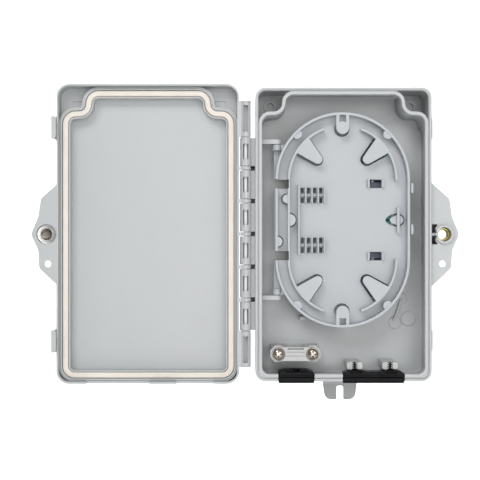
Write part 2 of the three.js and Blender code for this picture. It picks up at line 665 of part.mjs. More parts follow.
function makeAdapter(z) {
  const [x0, x1] = [adapters.x - adapters.length / 2, adapters.x + adapters.length / 2];
  const half = adapters.width / 2;
  const middle = (adapters.back + adapters.front) / 2;
  const waist = [-1, 1].map((side) => {
    const [z0, z1] = ordered(z + (side * panel.waist) / 2, z + side * (half + 1));
    return box(adapters.x - panel.waistLength / 2, adapters.x + panel.waistLength / 2, 0, -20, z0, z1);
  });
  const ports = [[x0 - 1, x0 + port.depth], [x1 - port.depth, x1 + 1]].map(([a, b]) =>
    box(a, b, middle + port.height / 2, middle - port.height / 2, z - port.width / 2, z + port.width / 2),
  );
  return cut(box(x0, x1, adapters.back, adapters.front, z - half, z + half), [...waist, ...ports]);
}

function makeDustCap(z, side) {
  const face = adapters.x + (side * adapters.length) / 2;
  const middle = (adapters.back + adapters.front) / 2;
  const across = (from, to) => ordered(face + side * from, face + side * to);
  const [w, h] = [port.width / 2 - GAP, port.height / 2 - GAP];
  const grip = box(...across(GAP, 2.6), middle + 3.8, middle - 3.8, z - 5.2, z + 5.2);
  return grip.add(box(...across(-5, 1), middle + h, middle - h, z - w, z + w));
}

// ---------------------------------------------------------------- cable entries and clamps

// A rubber plug for a notch in the lower wall: a round bar outside and a low crown inside.
function glandBody(entry) {
  const { x0, x1 } = entry;
  const { outerZ, wallZ, innerZ, shoulderZ, shoulder } = gland;
  const outline = roundedOutline([
    [x0, outerZ], [x1, outerZ], [x1, wallZ], [x1 - 0.4, shoulderZ], [x1 - shoulder, innerZ],
    [x0 + shoulder, innerZ], [x0 + 0.4, shoulderZ], [x0, wallZ],
  ].map(([x, z]) => [x, z, 0.6]));
  const groove = box(x0 - 1, x1 + 1, gland.grooveFloor, gland.front - THROUGH, gland.barZ, gland.ridgeZ);
  return prism(outline, entry.back, gland.front, 3).subtract(groove);
}

function makeFeederGland() {
  const x = (feeder.x0 + feeder.x1) / 2;
  return cut(glandBody(feeder), [
    cylinderZ(x, feeder.boreY, feeder.boreRadius, gland.outerZ - THROUGH, gland.innerZ + THROUGH),
    box(x - 2.3, x + 2.3, feeder.boreY, gland.front - THROUGH, -95, gland.innerZ + THROUGH),
  ]);
}

function makeDropGland() {
  const pitch = (drop.x1 - drop.x0) / drop.holes;
  const [z0, z1] = [gland.outerZ - THROUGH, gland.innerZ + THROUGH];
  const holes = Array.from({ length: drop.holes }, (_, i) =>
    cylinderZ(drop.x0 + (i + 0.5) * pitch, drop.holeY, drop.holeRadius, z0, z1, 12),
  );
  return cut(glandBody(drop), holes);
}

function makeClampSaddle() {
  const middle = (clamp.leftX + clamp.rightX) / 2;
  const [back, front] = [clamp.postTop - GAP, clamp.front];
  const ears = [clamp.leftX, clamp.rightX].map((x) =>
    cylinderY(x, clamp.z, clamp.earRadius, back, front + 2.4, 8),
  );
  const bar = box(clamp.leftX, clamp.rightX, back, front, clamp.z - clamp.barHalf, clamp.z + clamp.barHalf);
  const slot = box(
    middle - clamp.slotHalf, middle + clamp.slotHalf, 0, front - THROUGH,
    clamp.z + clamp.slotFrom, clamp.z + clamp.slotTo,
  );
  const seats = [clamp.leftX, clamp.rightX].flatMap((x) => [
    cylinderY(x, clamp.z, washer.radius + GAP, front + 2.4, front - THROUGH),
    cylinderY(x, clamp.z, clampScrew.radius + GAP, 0, front - THROUGH, 12),
  ]);
  const arch = cylinderZ(middle, feeder.boreY + 2.2, 6.4, clamp.z - 6, clamp.z + 6);
  return cut(join([...ears, bar]), [...seats, arch, slot]);
}

const washerBack = clamp.front + 2.4 - GAP;

function makeClampWasher(x) {
  return ring(x, clamp.z, clampScrew.radius + GAP, washer.radius, washerBack, washerBack - washer.thickness);
}

function makeClampScrew(x) {
  const { radius, headRadius, length } = clampScrew;
  const under = washerBack - washer.thickness - GAP;
  const front = under - clampScrew.headHeight;
  const screw = turned(x, clamp.z, [
    [0, front], [2.4, front], [3.5, front + 0.9], [headRadius, front + 1.8], [headRadius, under],
    [radius, under], [radius, under + length], [0, under + length],
  ]);
  return screw.subtract(crossRecess(x, clamp.z, 2.2, front));
}

function makeClampInsert(x) {
  const front = clamp.postTop + GAP;
  return ring(x, clamp.z, clampScrew.radius + GAP, clampScrew.insertRadius, front + 8, front);
}

// Two toothed jaws on a common foot, with the drop cable pressed down between them.
function makeDropClamp(x) {
  const back = dropClamps.postTop - GAP;
  const [z0, z1] = [dropClamps.z - dropClamps.height / 2, dropClamps.z + dropClamps.height / 2];
  const half = dropClamps.width / 2;
  const jaws = [-1, 1].map((side) => {
    const middle = x + (side * (half + 1.6)) / 2;
    const outline = roundedRectangle(middle, dropClamps.z, half - 1.6, dropClamps.height, 1.2);
    const teeth = [-1.5, 0, 1.5].map((dz) => {
      const [t0, t1] = ordered(x + side * 1, x + side * 2.4);
      return box(t0, t1, back, dropClamps.front + 0.8, dropClamps.z + dz - 0.45, dropClamps.z + dz + 0.45);
    });
    return join([prism(outline, back, dropClamps.front, 3), ...teeth]);
  });
  const foot = box(x - half + 0.4, x + half - 0.4, back, back - dropClamps.foot, z0 + 0.2, z1 - 0.2);
  return join([foot, ...jaws]);
}

// A rubber strip that fills the slit between the two jaws, clear of their teeth.
function makeDropPad(x) {
  const back = dropClamps.postTop - GAP - dropClamps.foot - GAP;
  const half = dropClamps.height / 2 - 0.4;
  return box(x - 0.7, x + 0.7, back, dropClamps.front + 1.6, dropClamps.z - half, dropClamps.z + half);
}

// ---------------------------------------------------------------- the object

const plastic = { color: 0xd3d7da, roughness: 0.45, metalness: 0 };
const finishes = {
  shell: plastic,
  trayPlastic: { color: 0xcfd3d7, roughness: 0.5, metalness: 0 },
  foam: { color: 0xeee8e0, roughness: 0.85, metalness: 0 },
  rubber: { color: 0x1e1e20, roughness: 0.75, metalness: 0 },
  steel: { color: 0xb9b4ac, roughness: 0.3, metalness: 1 },
  brass: { color: 0xc2a25a, roughness: 0.35, metalness: 1 },
  teal: { color: 0x2f9c95, roughness: 0.4, metalness: 0 },
  cap: { color: 0xe8ebed, roughness: 0.5, metalness: 0 },
};

const group = new THREE.Group();

function place(name, solid, finish) {
  const mesh = new THREE.Mesh(toGeometry(solid), new THREE.MeshStandardMaterial(finishes[finish]));
  mesh.name = name;
  group.add(mesh);
}

place('base_shell', makeBaseShell(), 'shell');
place('cover_shell', makeCoverShell(), 'shell');
place('cover_gasket', makeGasket(), 'foam');
place('hinge_pin', makeHingePin(), 'shell');
place('lock_insert', makeLockInsert(), 'brass');
place('lock_bolt', makeLockBolt(), 'steel');
place('bolt_retainer', makeBoltRetainer(), 'steel');
place('splice_tray', makeSpliceTray(), 'trayPlastic');
place('adapter_panel', makeAdapterPanel(), 'shell');
['top', 'bottom'].forEach((end, i) => place(`panel_screw_${end}`, makeFootScrew(panelScrewZ[i]), 'steel'));
for (let i = 0; i < adapters.count; i += 1) {
  place(`sc_adapter_${i + 1}`, makeAdapter(adapterZ(i)), 'teal');
  place(`dust_cap_left_${i + 1}`, makeDustCap(adapterZ(i), -1), 'cap');
  place(`dust_cap_right_${i + 1}`, makeDustCap(adapterZ(i), 1), 'cap');
}
place('clamp_saddle', makeClampSaddle(), 'shell');
[['left', clamp.leftX], ['right', clamp.rightX]].forEach(([side, x]) => {
  place(`clamp_insert_${side}`, makeClampInsert(x), 'brass');
  place(`clamp_washer_${side}`, makeClampWasher(x), 'steel');
  place(`clamp_screw_${side}`, makeClampScrew(x), 'steel');
});
place('feeder_gland', makeFeederGland(), 'rubber');
place('drop_gland', makeDropGland(), 'rubber');
['left', 'right'].forEach((side, i) => {
  place(`drop_clamp_${side}`, makeDropClamp(dropClamps.x[i]), 'cap');
  place(`drop_pad_${side}`, makeDropPad(dropClamps.x[i]), 'rubber');
});

export default group;
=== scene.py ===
"""Looks of a wall-mounted fibre termination box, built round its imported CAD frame.

Shapes are worked out in millimetres in the frame's axes: +X right, +Z up, the front faces -Y.
Every moulded piece is a union of lofted solids whose edges are already rounded, cut by lofted cuts.
"""
from math import acos, atan2, copysign, cos, pi, radians, sin, tan

import bmesh
import bpy
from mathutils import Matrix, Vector


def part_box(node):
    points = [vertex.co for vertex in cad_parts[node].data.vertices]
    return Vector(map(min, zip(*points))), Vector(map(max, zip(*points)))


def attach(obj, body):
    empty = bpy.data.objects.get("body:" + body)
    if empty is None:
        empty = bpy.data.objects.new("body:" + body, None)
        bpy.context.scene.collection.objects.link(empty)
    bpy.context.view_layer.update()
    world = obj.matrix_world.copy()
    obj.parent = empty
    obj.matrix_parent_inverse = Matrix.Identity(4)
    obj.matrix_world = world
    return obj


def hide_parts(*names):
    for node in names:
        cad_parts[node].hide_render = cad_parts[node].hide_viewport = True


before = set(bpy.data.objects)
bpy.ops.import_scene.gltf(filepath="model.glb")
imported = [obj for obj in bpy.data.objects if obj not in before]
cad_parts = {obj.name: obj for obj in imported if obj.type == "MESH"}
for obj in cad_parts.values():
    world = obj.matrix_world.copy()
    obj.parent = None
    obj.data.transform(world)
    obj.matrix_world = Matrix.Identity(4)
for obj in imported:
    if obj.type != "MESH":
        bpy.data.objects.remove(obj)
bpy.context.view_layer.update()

MM = 0.001


def box_mm(node):
    """A node's lowest and highest corner at rest, in millimetres."""
    low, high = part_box(node)
    return Vector(low) / MM, Vector(high) / MM


class Sizes:
    """Named sizes in millimetres."""
    def __init__(self, **sizes):
        self.__dict__.update(sizes)


# ---- places taken from the frame

GASKET = box_mm("cover_gasket")
PIN = box_mm("hinge_pin")
INSERT = box_mm("lock_insert")
BOLT = box_mm("lock_bolt")
RETAINER = box_mm("bolt_retainer")
FEEDER = box_mm("feeder_gland")
DROP = box_mm("drop_gland")

HINGE_X = (PIN[0].x + PIN[1].x) / 2
HINGE_Y = (PIN[0].y + PIN[1].y) / 2
COVER_X = 2 * HINGE_X
LOCK_X = (INSERT[0].x + INSERT[1].x) / 2
CUP_X = (BOLT[0].x + BOLT[1].x) / 2

# Depths of the base: its rim, the sealing ridge that stands proud of it, and its floor.
BASE = Sizes(w=121.2, h=201.8, r=7, rim=-36, ridge=-36.6, floor=-2.4)
LID = Sizes(w=125.6, h=206, r=9, rim=-36, floor=-22.2, back=-20, z=0.3)
SEAL = Sizes(x=57, z=97, notch_x=41, notch_z=83, r=6.8, low_r=6)
LIPS = Sizes(inner=2.3, outer=3.3, front=-31.6, floor=-26.2, ledge=4.7, ledge_front=-30.4)
HINGE = Sizes(r=3.6, pin=1.2, pitch=22.6, count=6, length=19.5, z=(PIN[0].z + PIN[1].z) / 2)


# ---- outlines: a shape is a function that gives its points when it is grown by an offset

def angles(turn, steps, start=0):
    """Evenly spaced angles through a turn, both of its ends included."""
    return [start + turn * k / steps for k in range(steps + 1)]


def around(x, z, reach, turn):
    """Points at one distance from a centre, at each angle of a turn."""
    return [(x + reach * cos(a), z + reach * sin(a)) for a in turn]


def outline(corners, offset, steps):
    """Points round a counter-clockwise outline of (x, z, radius) corners, moved outwards by offset."""
    points = []
    for i, (x, z, radius) in enumerate(corners):
        here = Vector((x, z))
        before = (Vector(corners[i - 1][:2]) - here).normalized()
        after = (Vector(corners[(i + 1) % len(corners)][:2]) - here).normalized()
        side = 1 if before.x * after.y - before.y * after.x < 0 else -1
        half = acos(max(-1, min(1, before.dot(after)))) / 2
        middle = (before + after).normalized()
        corner = here - middle * (side * offset / sin(half))
        bend = max(radius + side * offset, 0.02)
        centre = corner + middle * (bend / sin(half))
        first = corner + before * (bend / tan(half)) - centre
        last = corner + after * (bend / tan(half)) - centre
        start = atan2(first.y, first.x)
        turn = (atan2(last.y, last.x) - start + pi) % (2 * pi) - pi
        points += around(centre.x, centre.y, bend, angles(turn, steps, start))
    return points


def shape(corners, steps=6, side=1):
    """Corners as a shape. Side -1 turns round the order of corners that were mirrored."""
    return lambda offset: outline(corners[::side], offset, steps)


def rectangle(x0, x1, z0, z1, radius=0.4, steps=4):
    return shape([(x0, z0, radius), (x1, z0, radius), (x1, z1, radius), (x0, z1, radius)], steps)


def centred(x, z, width, height, radius, steps=6):
    return rectangle(x - width / 2, x + width / 2, z - height / 2, z + height / 2, radius, steps)


def circle(x, z, radius, steps=40):
    turn = angles(2 * pi, steps)[:-1]
    return lambda offset: around(x, z, max(radius + offset, 0.01), turn)


def seal(shift=0, x=0):
    """The seal's path round the cavity, stepped inwards at both top corners, moved outwards by shift."""
    s, e, nx, nz = SEAL.x, SEAL.z, SEAL.notch_x, SEAL.notch_z
    r, low = SEAL.r, SEAL.low_r
    corners = [
        (x - s, -e, low), (x + s, -e, low), (x + s, nz, r), (x + nx, nz, r), (x + nx, e, r),
        (x - nx, e, r), (x - nx, nz, r), (x - s, nz, r),
    ]
    return lambda offset: outline(corners, offset + shift, 7)


def span(place, side, near, far):
    """The lower and upper end of a stretch that is measured from a place towards one side."""
    return sorted((place + side * near, place + side * far))


# ---- solids

def loft(rings, closed=False):
    """A closed surface through rings of (x, y, z) with equal counts. Unless closed, both ends are capped."""
    mesh = bmesh.new()
    rows = [[mesh.verts.new([c * MM for c in point]) for point in ring] for ring in rings]
    following = rows[1:] + rows[:1] if closed else rows[1:]
    for row, ahead in zip(rows, following):
        for i in range(len(row)):
            j = (i + 1) % len(row)
            mesh.faces.new((row[i], row[j], ahead[j], ahead[i]))
    if not closed:
        mesh.faces.new(rows[0][::-1])
        mesh.faces.new(rows[-1])
    bmesh.ops.recalc_face_normals(mesh, faces=mesh.faces)
    return mesh


def stack(points, rows, closed=False):
    """An XZ shape lofted through rows of (offset, depth)."""
    return loft([[(x, y, z) for x, z in points(offset)] for offset, y in rows], closed)


def quarter(radius, steps=3):
    """(inset, rise) pairs up a rounded edge, from the flat end to the straight side."""
    return [(radius * (1 - sin(t)), radius * (1 - cos(t))) for t in angles(pi / 2, steps)]


def back_edge(radius, depth, steps, side=-1):
    """Rows of (offset, depth) at a shape's back end, which is rounded, or flared when side is 1."""
    return [(side * inset, depth - rise) for inset, rise in quarter(radius, steps)]


def front_edge(radius, depth, steps, side=-1):
    return [(side * inset, depth + rise) for inset, rise in reversed(quarter(radius, steps))]


def prism(points, back, front, round_back=0.3, round_front=0.3, steps=3):
    """An XZ shape between two depths, both ends rounded."""
    return stack(points, back_edge(round_back, back, steps) + front_edge(round_front, front, steps))


def pit(points, floor, mouth, fillet=0.5, flare=0.3, steps=3):
    """A cutter for a hollow: rounded where it meets its floor, and flared out where it leaves the mouth."""
    rows = back_edge(fillet, floor, steps) + front_edge(flare, mouth, steps, 1)
    return stack(points, rows + [(flare, mouth - 3)])


def through(points, back, front, flare=0.3, steps=3):
    """A cutter for a hole right through between two faces, with both of its edges rounded."""
    rows = back_edge(flare, back, steps, 1) + front_edge(flare, front, steps, 1)
    return stack(points, [(flare, back + 3)] + rows + [(flare, front - 3)])


def track(points, section):
    """A closed ring that follows a shape. Its section is a loop of (offset, depth)."""
    return stack(points, section, closed=True)


def wall_section(inner, outer, foot, top, rounding, steps=3):
    """The section of an upright rib: square at its foot and rounded along its top."""
    section = [(inner, foot)]
    section += [(inner + inset, top + rise) for inset, rise in reversed(quarter(rounding, steps))]
    section += [(outer - inset, top + rise) for inset, rise in quarter(rounding, steps)]
    return section + [(outer, foot)]


def block(x0, x1, back, front, z0, z1, radius=0.3, rounding=0.3):
    return prism(rectangle(x0, x1, z0, z1, radius, 3), back, front, rounding, rounding, 2)


def slab(x, half_x, back, front, z, half_z, radius=0.3, rounding=0.3):
    """A block about a middle, from half of its width and height."""
    return block(x - half_x, x + half_x, back, front, z - half_z, z + half_z, radius, rounding)


def hole(x0, x1, floor, mouth, z0, z1, radius=0.3, fillet=0.3, flare=0.25):
    return pit(rectangle(x0, x1, z0, z1, radius, 3), floor, mouth, fillet, flare, 2)


def turned(x, z, profile, steps=48):
    """A solid of revolution about an axis along Y, from (radius, depth) points that start and end on it."""
    return stack(circle(x, z, 0, steps), profile)


def ring(x, z, section, steps=48):
    """A ring about an axis along Y, from a closed loop of (radius, depth)."""
    return track(circle(x, z, 0, steps), section)


def bar_rows(low, high, rounding):
    """(place, inset) pairs along a bar with rounded ends."""
    rows = [(low + rise, inset) for inset, rise in quarter(rounding)]
    return rows + [(high - rise, inset) for inset, rise in reversed(quarter(rounding))]


def rod(x, y, z0, z1, radius, rounding=0.3, steps=32):
    """A rod along Z with rounded ends."""
    turn = angles(2 * pi, steps)[:-1]
    rows = bar_rows(z0, z1, rounding)
    return loft([[(*spot, z) for spot in around(x, y, radius - inset, turn)] for z, inset in rows])


# ---- pieces

def put(name, data):
    """A new object in the scene."""
    made = bpy.data.objects.new(name, data)
    bpy.context.scene.collection.objects.link(made)
    return made


def to_object(mesh, name):
    data = bpy.data.meshes.new(name)
    mesh.to_mesh(data)
    mesh.free()
    return put(name, data)


def carve(name, *stages):
    """One piece from lists of solids that are joined and cut away in turn: join, cut, join, cut and so on."""
    piece = to_object(stages[0][0], name)
    steps = [("UNION", mesh) for mesh in stages[0][1:]]
    for number, meshes in enumerate(stages[1:], 1):
        steps += [("DIFFERENCE" if number % 2 else "UNION", mesh) for mesh in meshes]
    tools = []
    for operation, mesh in steps:
        tool = to_object(mesh, "tool")
        modifier = piece.modifiers.new("step", "BOOLEAN")
        modifier.operation = operation
        modifier.solver = "MANIFOLD"
        modifier.object = tool
        tools.append(tool)
    finished = bpy.data.meshes.new_from_object(piece.evaluated_get(bpy.context.evaluated_depsgraph_get()))
    piece.modifiers.clear()
    piece.data = finished
    for tool in tools:
        bpy.data.objects.remove(tool)
    return smooth(piece)


def smooth(piece, angle=32):
    mesh = piece.data
    mesh.shade_smooth()
    mesh.set_sharp_from_angle(angle=radians(angle))
    piece.modifiers.new("weighted", "WEIGHTED_NORMAL").keep_sharp = True
    return piece


def finish(piece, body, look, *nodes):
    """Gives a piece its body and the material of its look, a (material, slot) pair whose slot is not used,
    and hides the CAD nodes it stands for.
    """
    material, slot = look
    piece.data.materials.clear()
    piece.data.materials.append(material)
    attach(piece, body)
    if nodes:
        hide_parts(*nodes)


def finish_ring(name, x, z, section, steps, *labels):
    finish(smooth(to_object(ring(x, z, section, steps), name), 25), *labels)


# ---- materials

MIX_A, MIX_B, MIX_RESULT = 6, 7, 2
EAR_PAINTED_SHADE = (0.62, 0.62, 0.62)  # painted shade: the wall ear, below the box, is coloured darker than the shells, for the shadow it stands in
EAR_PAINTED_SHADE_HEIGHTS = (-0.1035, -0.107)  # the heights in metres between which that painted shade comes in
WHITE = (1, 1, 1)


def node_tree(name):
    material = bpy.data.materials.new(name)
    material.use_nodes = True
    tree = material.node_tree
    return material, tree, tree.nodes["Principled BSDF"]


def give(node, values):
    """Sets a node's sockets and settings by name."""
    for key, value in values.items():
        if key in node.inputs:
            node.inputs[key].default_value = value
        else:
            setattr(node, key, value)


def add(tree, kind, **values):
    node = tree.nodes.new(kind)
    give(node, values)
    return node


def noise_at(tree, scale, detail, stretch=WHITE):
    """Noise in the object's own space, scale in features per metre."""
    where = add(tree, "ShaderNodeTexCoord")
    mapping = add(tree, "ShaderNodeMapping", Scale=stretch)
    noise = add(tree, "ShaderNodeTexNoise", Scale=scale, Detail=detail)
    tree.links.new(where.outputs["Object"], mapping.inputs["Vector"])
    tree.links.new(mapping.outputs["Vector"], noise.inputs["Vector"])
    return noise.outputs["Fac"]


def spread(tree, source, low, high, start=0.3, end=0.7):
    """Maps a texture's middle range to low..high."""
    limits = {"From Min": start, "From Max": end, "To Min": low, "To Max": high}
    node = add(tree, "ShaderNodeMapRange", **limits)
    tree.links.new(source, node.inputs["Value"])
    return node.outputs["Result"]


def noise_range(tree, scale, detail, low=0, high=1, start=0.3, end=0.7):
    return spread(tree, noise_at(tree, scale, detail), low, high, start, end)


def mixed(tree, factor, first, second):
    """A colour between two others. The mix node's colour sockets are its seventh and eighth."""
    node = add(tree, "ShaderNodeMix", data_type="RGBA")
    node.inputs[MIX_A].default_value = (*first, 1)
    node.inputs[MIX_B].default_value = (*second, 1)
    tree.links.new(factor, node.inputs["Factor"])
    return node.outputs[MIX_RESULT]


def multiplied(tree, first, second):
    node = add(tree, "ShaderNodeMix", data_type="RGBA", blend_type="MULTIPLY", Factor=1)
    tree.links.new(first, node.inputs[MIX_A])
    tree.links.new(second, node.inputs[MIX_B])
    return node.outputs[MIX_RESULT]


def coat(tree, shader, colour, roughness):
    tree.links.new(colour, shader.inputs["Base Color"])
    tree.links.new(roughness, shader.inputs["Roughness"])


def bumps(tree, shader, layers):
    """Chains bump layers of (height, strength, distance in millimetres) into the shader's normal."""
    normal = None
    for height, strength, distance in layers:
        bump = add(tree, "ShaderNodeBump", Strength=strength, Distance=distance * MM)
        tree.links.new(height, bump.inputs["Height"])
        if normal:
            tree.links.new(normal, bump.inputs["Normal"])
        normal = bump.outputs["Normal"]
    tree.links.new(normal, shader.inputs["Normal"])


def moulded_plastic(name, colour, shade, roughness):
    """Injection-moulded ABS: faint flow shading, fine mould grain, slow waviness, and painted shade that
    darkens the wall ear.
    """
    material, tree, shader = node_tree(name)
    flow = spread(tree, noise_at(tree, 26, 2, (1, 1, 0.5)), 0, 1, 0.1, 0.9)
    speckle = noise_range(tree, 900, 2)
    place = add(tree, "ShaderNodeSeparateXYZ")
    tree.links.new(add(tree, "ShaderNodeTexCoord").outputs["Object"], place.inputs["Vector"])
    # painted shade: below these heights the wall ear is coloured darker, for its shadow
    low = spread(tree, place.outputs["Z"], 0, 1, *EAR_PAINTED_SHADE_HEIGHTS)
    ear = mixed(tree, low, WHITE, EAR_PAINTED_SHADE)
    grain_and_painted_shade = multiplied(tree, mixed(tree, speckle, WHITE, (0.975, 0.978, 0.982)), ear)
    body = multiplied(tree, mixed(tree, flow, colour, shade), grain_and_painted_shade)
    coat(tree, shader, body, noise_range(tree, 10, 1, *roughness, 0.1, 0.9))
    give(shader, {"Subsurface Weight": 0.06, "Subsurface Radius": (0.0015, 0.0014, 0.0013)})
    bumps(tree, shader, [(noise_at(tree, 18, 1), 0.2, 0.3), (noise_at(tree, 1500, 2), 0.1, 0.03)])
    return material


def foam_rubber():
    """Poured silicone foam: cream, matt, with a fine open skin."""
    material, tree, shader = node_tree("foam_rubber")
    cream = mixed(tree, noise_range(tree, 120, 4), (0.74, 0.69, 0.63), (0.69, 0.64, 0.58))
    coat(tree, shader, cream, noise_range(tree, 400, 3, 0.7, 0.9))
    give(shader, {"Subsurface Weight": 0.15, "Subsurface Radius": (0.002, 0.0017, 0.0014)})
    bumps(tree, shader, [(noise_at(tree, 250, 4), 0.3, 0.25), (noise_at(tree, 1800, 3), 0.4, 0.08)])
    return material


def black_rubber():
    """EPDM rubber: near black, with a faint bloom and a soft sheen."""
    material, tree, shader = node_tree("black_rubber")
    bloom = noise_range(tree, 110, 5, 0, 1, 0.45, 0.75)
    black = mixed(tree, bloom, (0.004, 0.004, 0.005), (0.008, 0.008, 0.009))
    coat(tree, shader, black, noise_range(tree, 300, 3, 0.28, 0.42))
    give(shader, {"Specular IOR Level": 0.09})
    bumps(tree, shader, [(noise_at(tree, 130, 3), 0.25, 0.25), (noise_at(tree, 1300, 2), 0.2, 0.03)])
    return material


def worked_metal(name, colour, shade, roughness, metallic=1):
    """Turned or stamped metal: darker patches, uneven polish and fine tool marks."""
    material, tree, shader = node_tree(name)
    patches = mixed(tree, noise_range(tree, 160, 2), colour, shade)
    coat(tree, shader, patches, noise_range(tree, 300, 2, *roughness))
    give(shader, {"Metallic": metallic})
    bumps(tree, shader, [(noise_at(tree, 700, 2, (1, 6, 1)), 0.15, 0.03)])
    return material


def plastic_look(slot, *looks):
    return moulded_plastic(slot, *looks), slot


SHELL_PLASTIC = plastic_look("shell_plastic", (0.455, 0.468, 0.47), (0.43, 0.444, 0.447), (0.26, 0.32))
TRAY_PLASTIC = plastic_look("tray_plastic", (0.425, 0.443, 0.46), (0.40, 0.419, 0.437), (0.28, 0.34))
CLAMP_PLASTIC = plastic_look("clamp_plastic", (0.49, 0.495, 0.49), (0.45, 0.455, 0.45), (0.38, 0.5))
PIN_PLASTIC = plastic_look("pin_plastic", (0.74, 0.75, 0.755), (0.70, 0.71, 0.72), (0.25, 0.35))
ADAPTER_TEAL = plastic_look("adapter_teal", (0.035, 0.40, 0.36), (0.03, 0.35, 0.33), (0.3, 0.42))
CAP_PLASTIC = plastic_look("cap_plastic", (0.72, 0.73, 0.73), (0.68, 0.69, 0.70), (0.4, 0.55))
FOAM = foam_rubber(), "gasket_foam"
RUBBER = black_rubber(), "rubber"
STEEL = worked_metal("plated_steel", (0.38, 0.345, 0.30), (0.24, 0.21, 0.175), (0.13, 0.26)), "steel"
CUP_STEEL = worked_metal("cup_steel", (0.55, 0.55, 0.54), (0.46, 0.46, 0.455), (0.2, 0.3)), "steel"
BRASS = worked_metal("turned_brass", (0.47, 0.40, 0.16), (0.35, 0.29, 0.11), (0.2, 0.38)), "brass"
# painted shade: the clip steel is coloured near black, darker than the steel itself, for the shade under the
# tray
SPRING_STEEL_PAINTED_SHADE = worked_metal("spring_steel_painted_shade", (0.10, 0.108, 0.15), (0.085, 0.092, 0.13), (0.5, 0.65), 0.2), "steel"


# ---- base shell

FEEDER_X = (FEEDER[0].x, FEEDER[1].x)
DROP_X = (DROP[0].x, DROP[1].x)
ENTRY_GAP = 0.3
CLAMP_Z = -82.4
CLAMP_X = (-44.5, -20.9)
DROP_CLAMP_Z = -90.4
DROP_CLAMP_X = (7.9, 32.3)
POCKET = (49.5, 90.5)
PANEL_X = 22
PANEL_SCREWS = (71.5, -51.5)


def knuckle_z(i):
    return HINGE.z + (i - (HINGE.count - 1) / 2) * HINGE.pitch


def gap_z(i):
    return knuckle_z(i) + HINGE.pitch / 2


def base_pan():
    """The tray of the base: outer wall, sealing ridge with the groove outside it, and the hollow cavity."""
    rim, ridge, floor = BASE.rim, BASE.ridge, BASE.floor
    outer = centred(0, 0, BASE.w, BASE.h, BASE.r, 10)
    solid = [prism(outer, 0, rim, 1.6, 0.7, 5), prism(seal(1.3), rim + 6, ridge, 0.1, 0.7, 4)]
    groove = track(
        centred(0, 0, BASE.w - 3.4, BASE.h - 3.4, BASE.r - 1.7, 10),
        [(0, rim - 1), (0, rim + 1.2), (-0.75, rim + 1.2), (-0.75, rim - 1)],
    )
    hollow = [
        pit(seal(-1.3), floor, ridge, 1.6, 0.7, 4),
        prism(rectangle(-58.4, 58.4, -98.5, 75, 5, 6), floor, rim + 6, 1.6, 0.8, 4),
        prism(rectangle(-39.6, 39.6, 60, 98.5, 3, 6), floor, rim + 6, 1.6, 0.8, 4),
    ]
    return solid, [groove] + hollow


def corner_pocket(side):
    """The well outside the seal in one top corner. It follows the outer wall and the stepped ridge."""
    edge_x, edge_z = BASE.w / 2 - 2.2, BASE.h / 2 - 2.2
    r, notch_x, notch_z = SEAL.r, SEAL.notch_x, SEAL.notch_z
    step = -2.2  # where the well's straight sides end, measured from the seal's step
    turn = angles(pi / 2, 7)

    def bend(x, z, reach, turn):
        return [(x + reach * sin(t), z + reach * cos(t)) for t in turn]

    points = bend(SEAL.x - r, notch_z - r, r + 1.3, turn[:0:-1])
    points += bend(notch_x + r, notch_z + r, 1.3 - r, turn)
    points += around(notch_x - r, SEAL.z - r, r + 1.3, turn[:7])
    points.append((notch_x + step, edge_z))
    points += bend(edge_x - 5.2, edge_z - 5.2, 5.2, turn)
    points.append((edge_x, notch_z + step))
    return loft([[(side * x, y, z) for x, z in points] for y in (-3, BASE.rim - 3)])


def wall_ear():
    corners = [
        (12.6, -92, 1), (12.3, -104, 6), (10.6, -117.3, 5), (2.5, -117.3, 0.8), (2.5, -107.5, 1.6),
        (-2.5, -107.5, 1.6), (-2.5, -117.3, 0.8), (-10.6, -117.3, 5), (-12.3, -104, 6), (-12.6, -92, 1),
    ]
    return prism(shape(corners[::-1], 6), 0, -3, 0.3, 0.5)


def base_hinge():
    half = HINGE.length / 2
    low, high = knuckle_z(0) - half, knuckle_z(HINGE.count - 1) + half
    solid = [block(-66.4, -59.6, -12, -29.7, low, high, 0.6, 0.4)]
    cuts = [rod(HINGE_X, HINGE_Y, low - 2, high + 2, HINGE.pin + 0.3, 0.1, 20)]
    for i in range(HINGE.count):
        z = knuckle_z(i)
        solid.append(rod(HINGE_X, HINGE_Y, z - half, z + half, HINGE.r, 0.25))
        solid.append(block(-71, -59.6, -27, -31.6, z - half, z + half, 0.3, 0.2))
        slot = centred(HINGE_X, z, 3.7, 10.5, 0.7, 3)
        cuts.append(pit(slot, HINGE_Y + 2.6, HINGE_Y - 4.4, 0.2, 0.3, 2))
    for i in range(HINGE.count - 1):
        cuts.append(hole(-63.5, -60.8, -13.4, -31.6, gap_z(i) - 1.5, gap_z(i) + 1.5, 0.2, 0.1, 0.05))
    return solid, cuts


def lock_lug(x, side, back, front):
    corners = [
        (60, -37, 2), (74.6, -23.2, 4), (75.2, -11, 7), (80.2, 0, 5), (75.2, 12, 7), (73.4, 24.6, 4),
        (60, 36.5, 2), (56, 30, 1), (56, -30, 1),
    ]
    moved = [(x + side * cx, z, r) for cx, z, r in corners]
    return prism(shape(moved, 7, side), back, front, 0.4, 0.4)


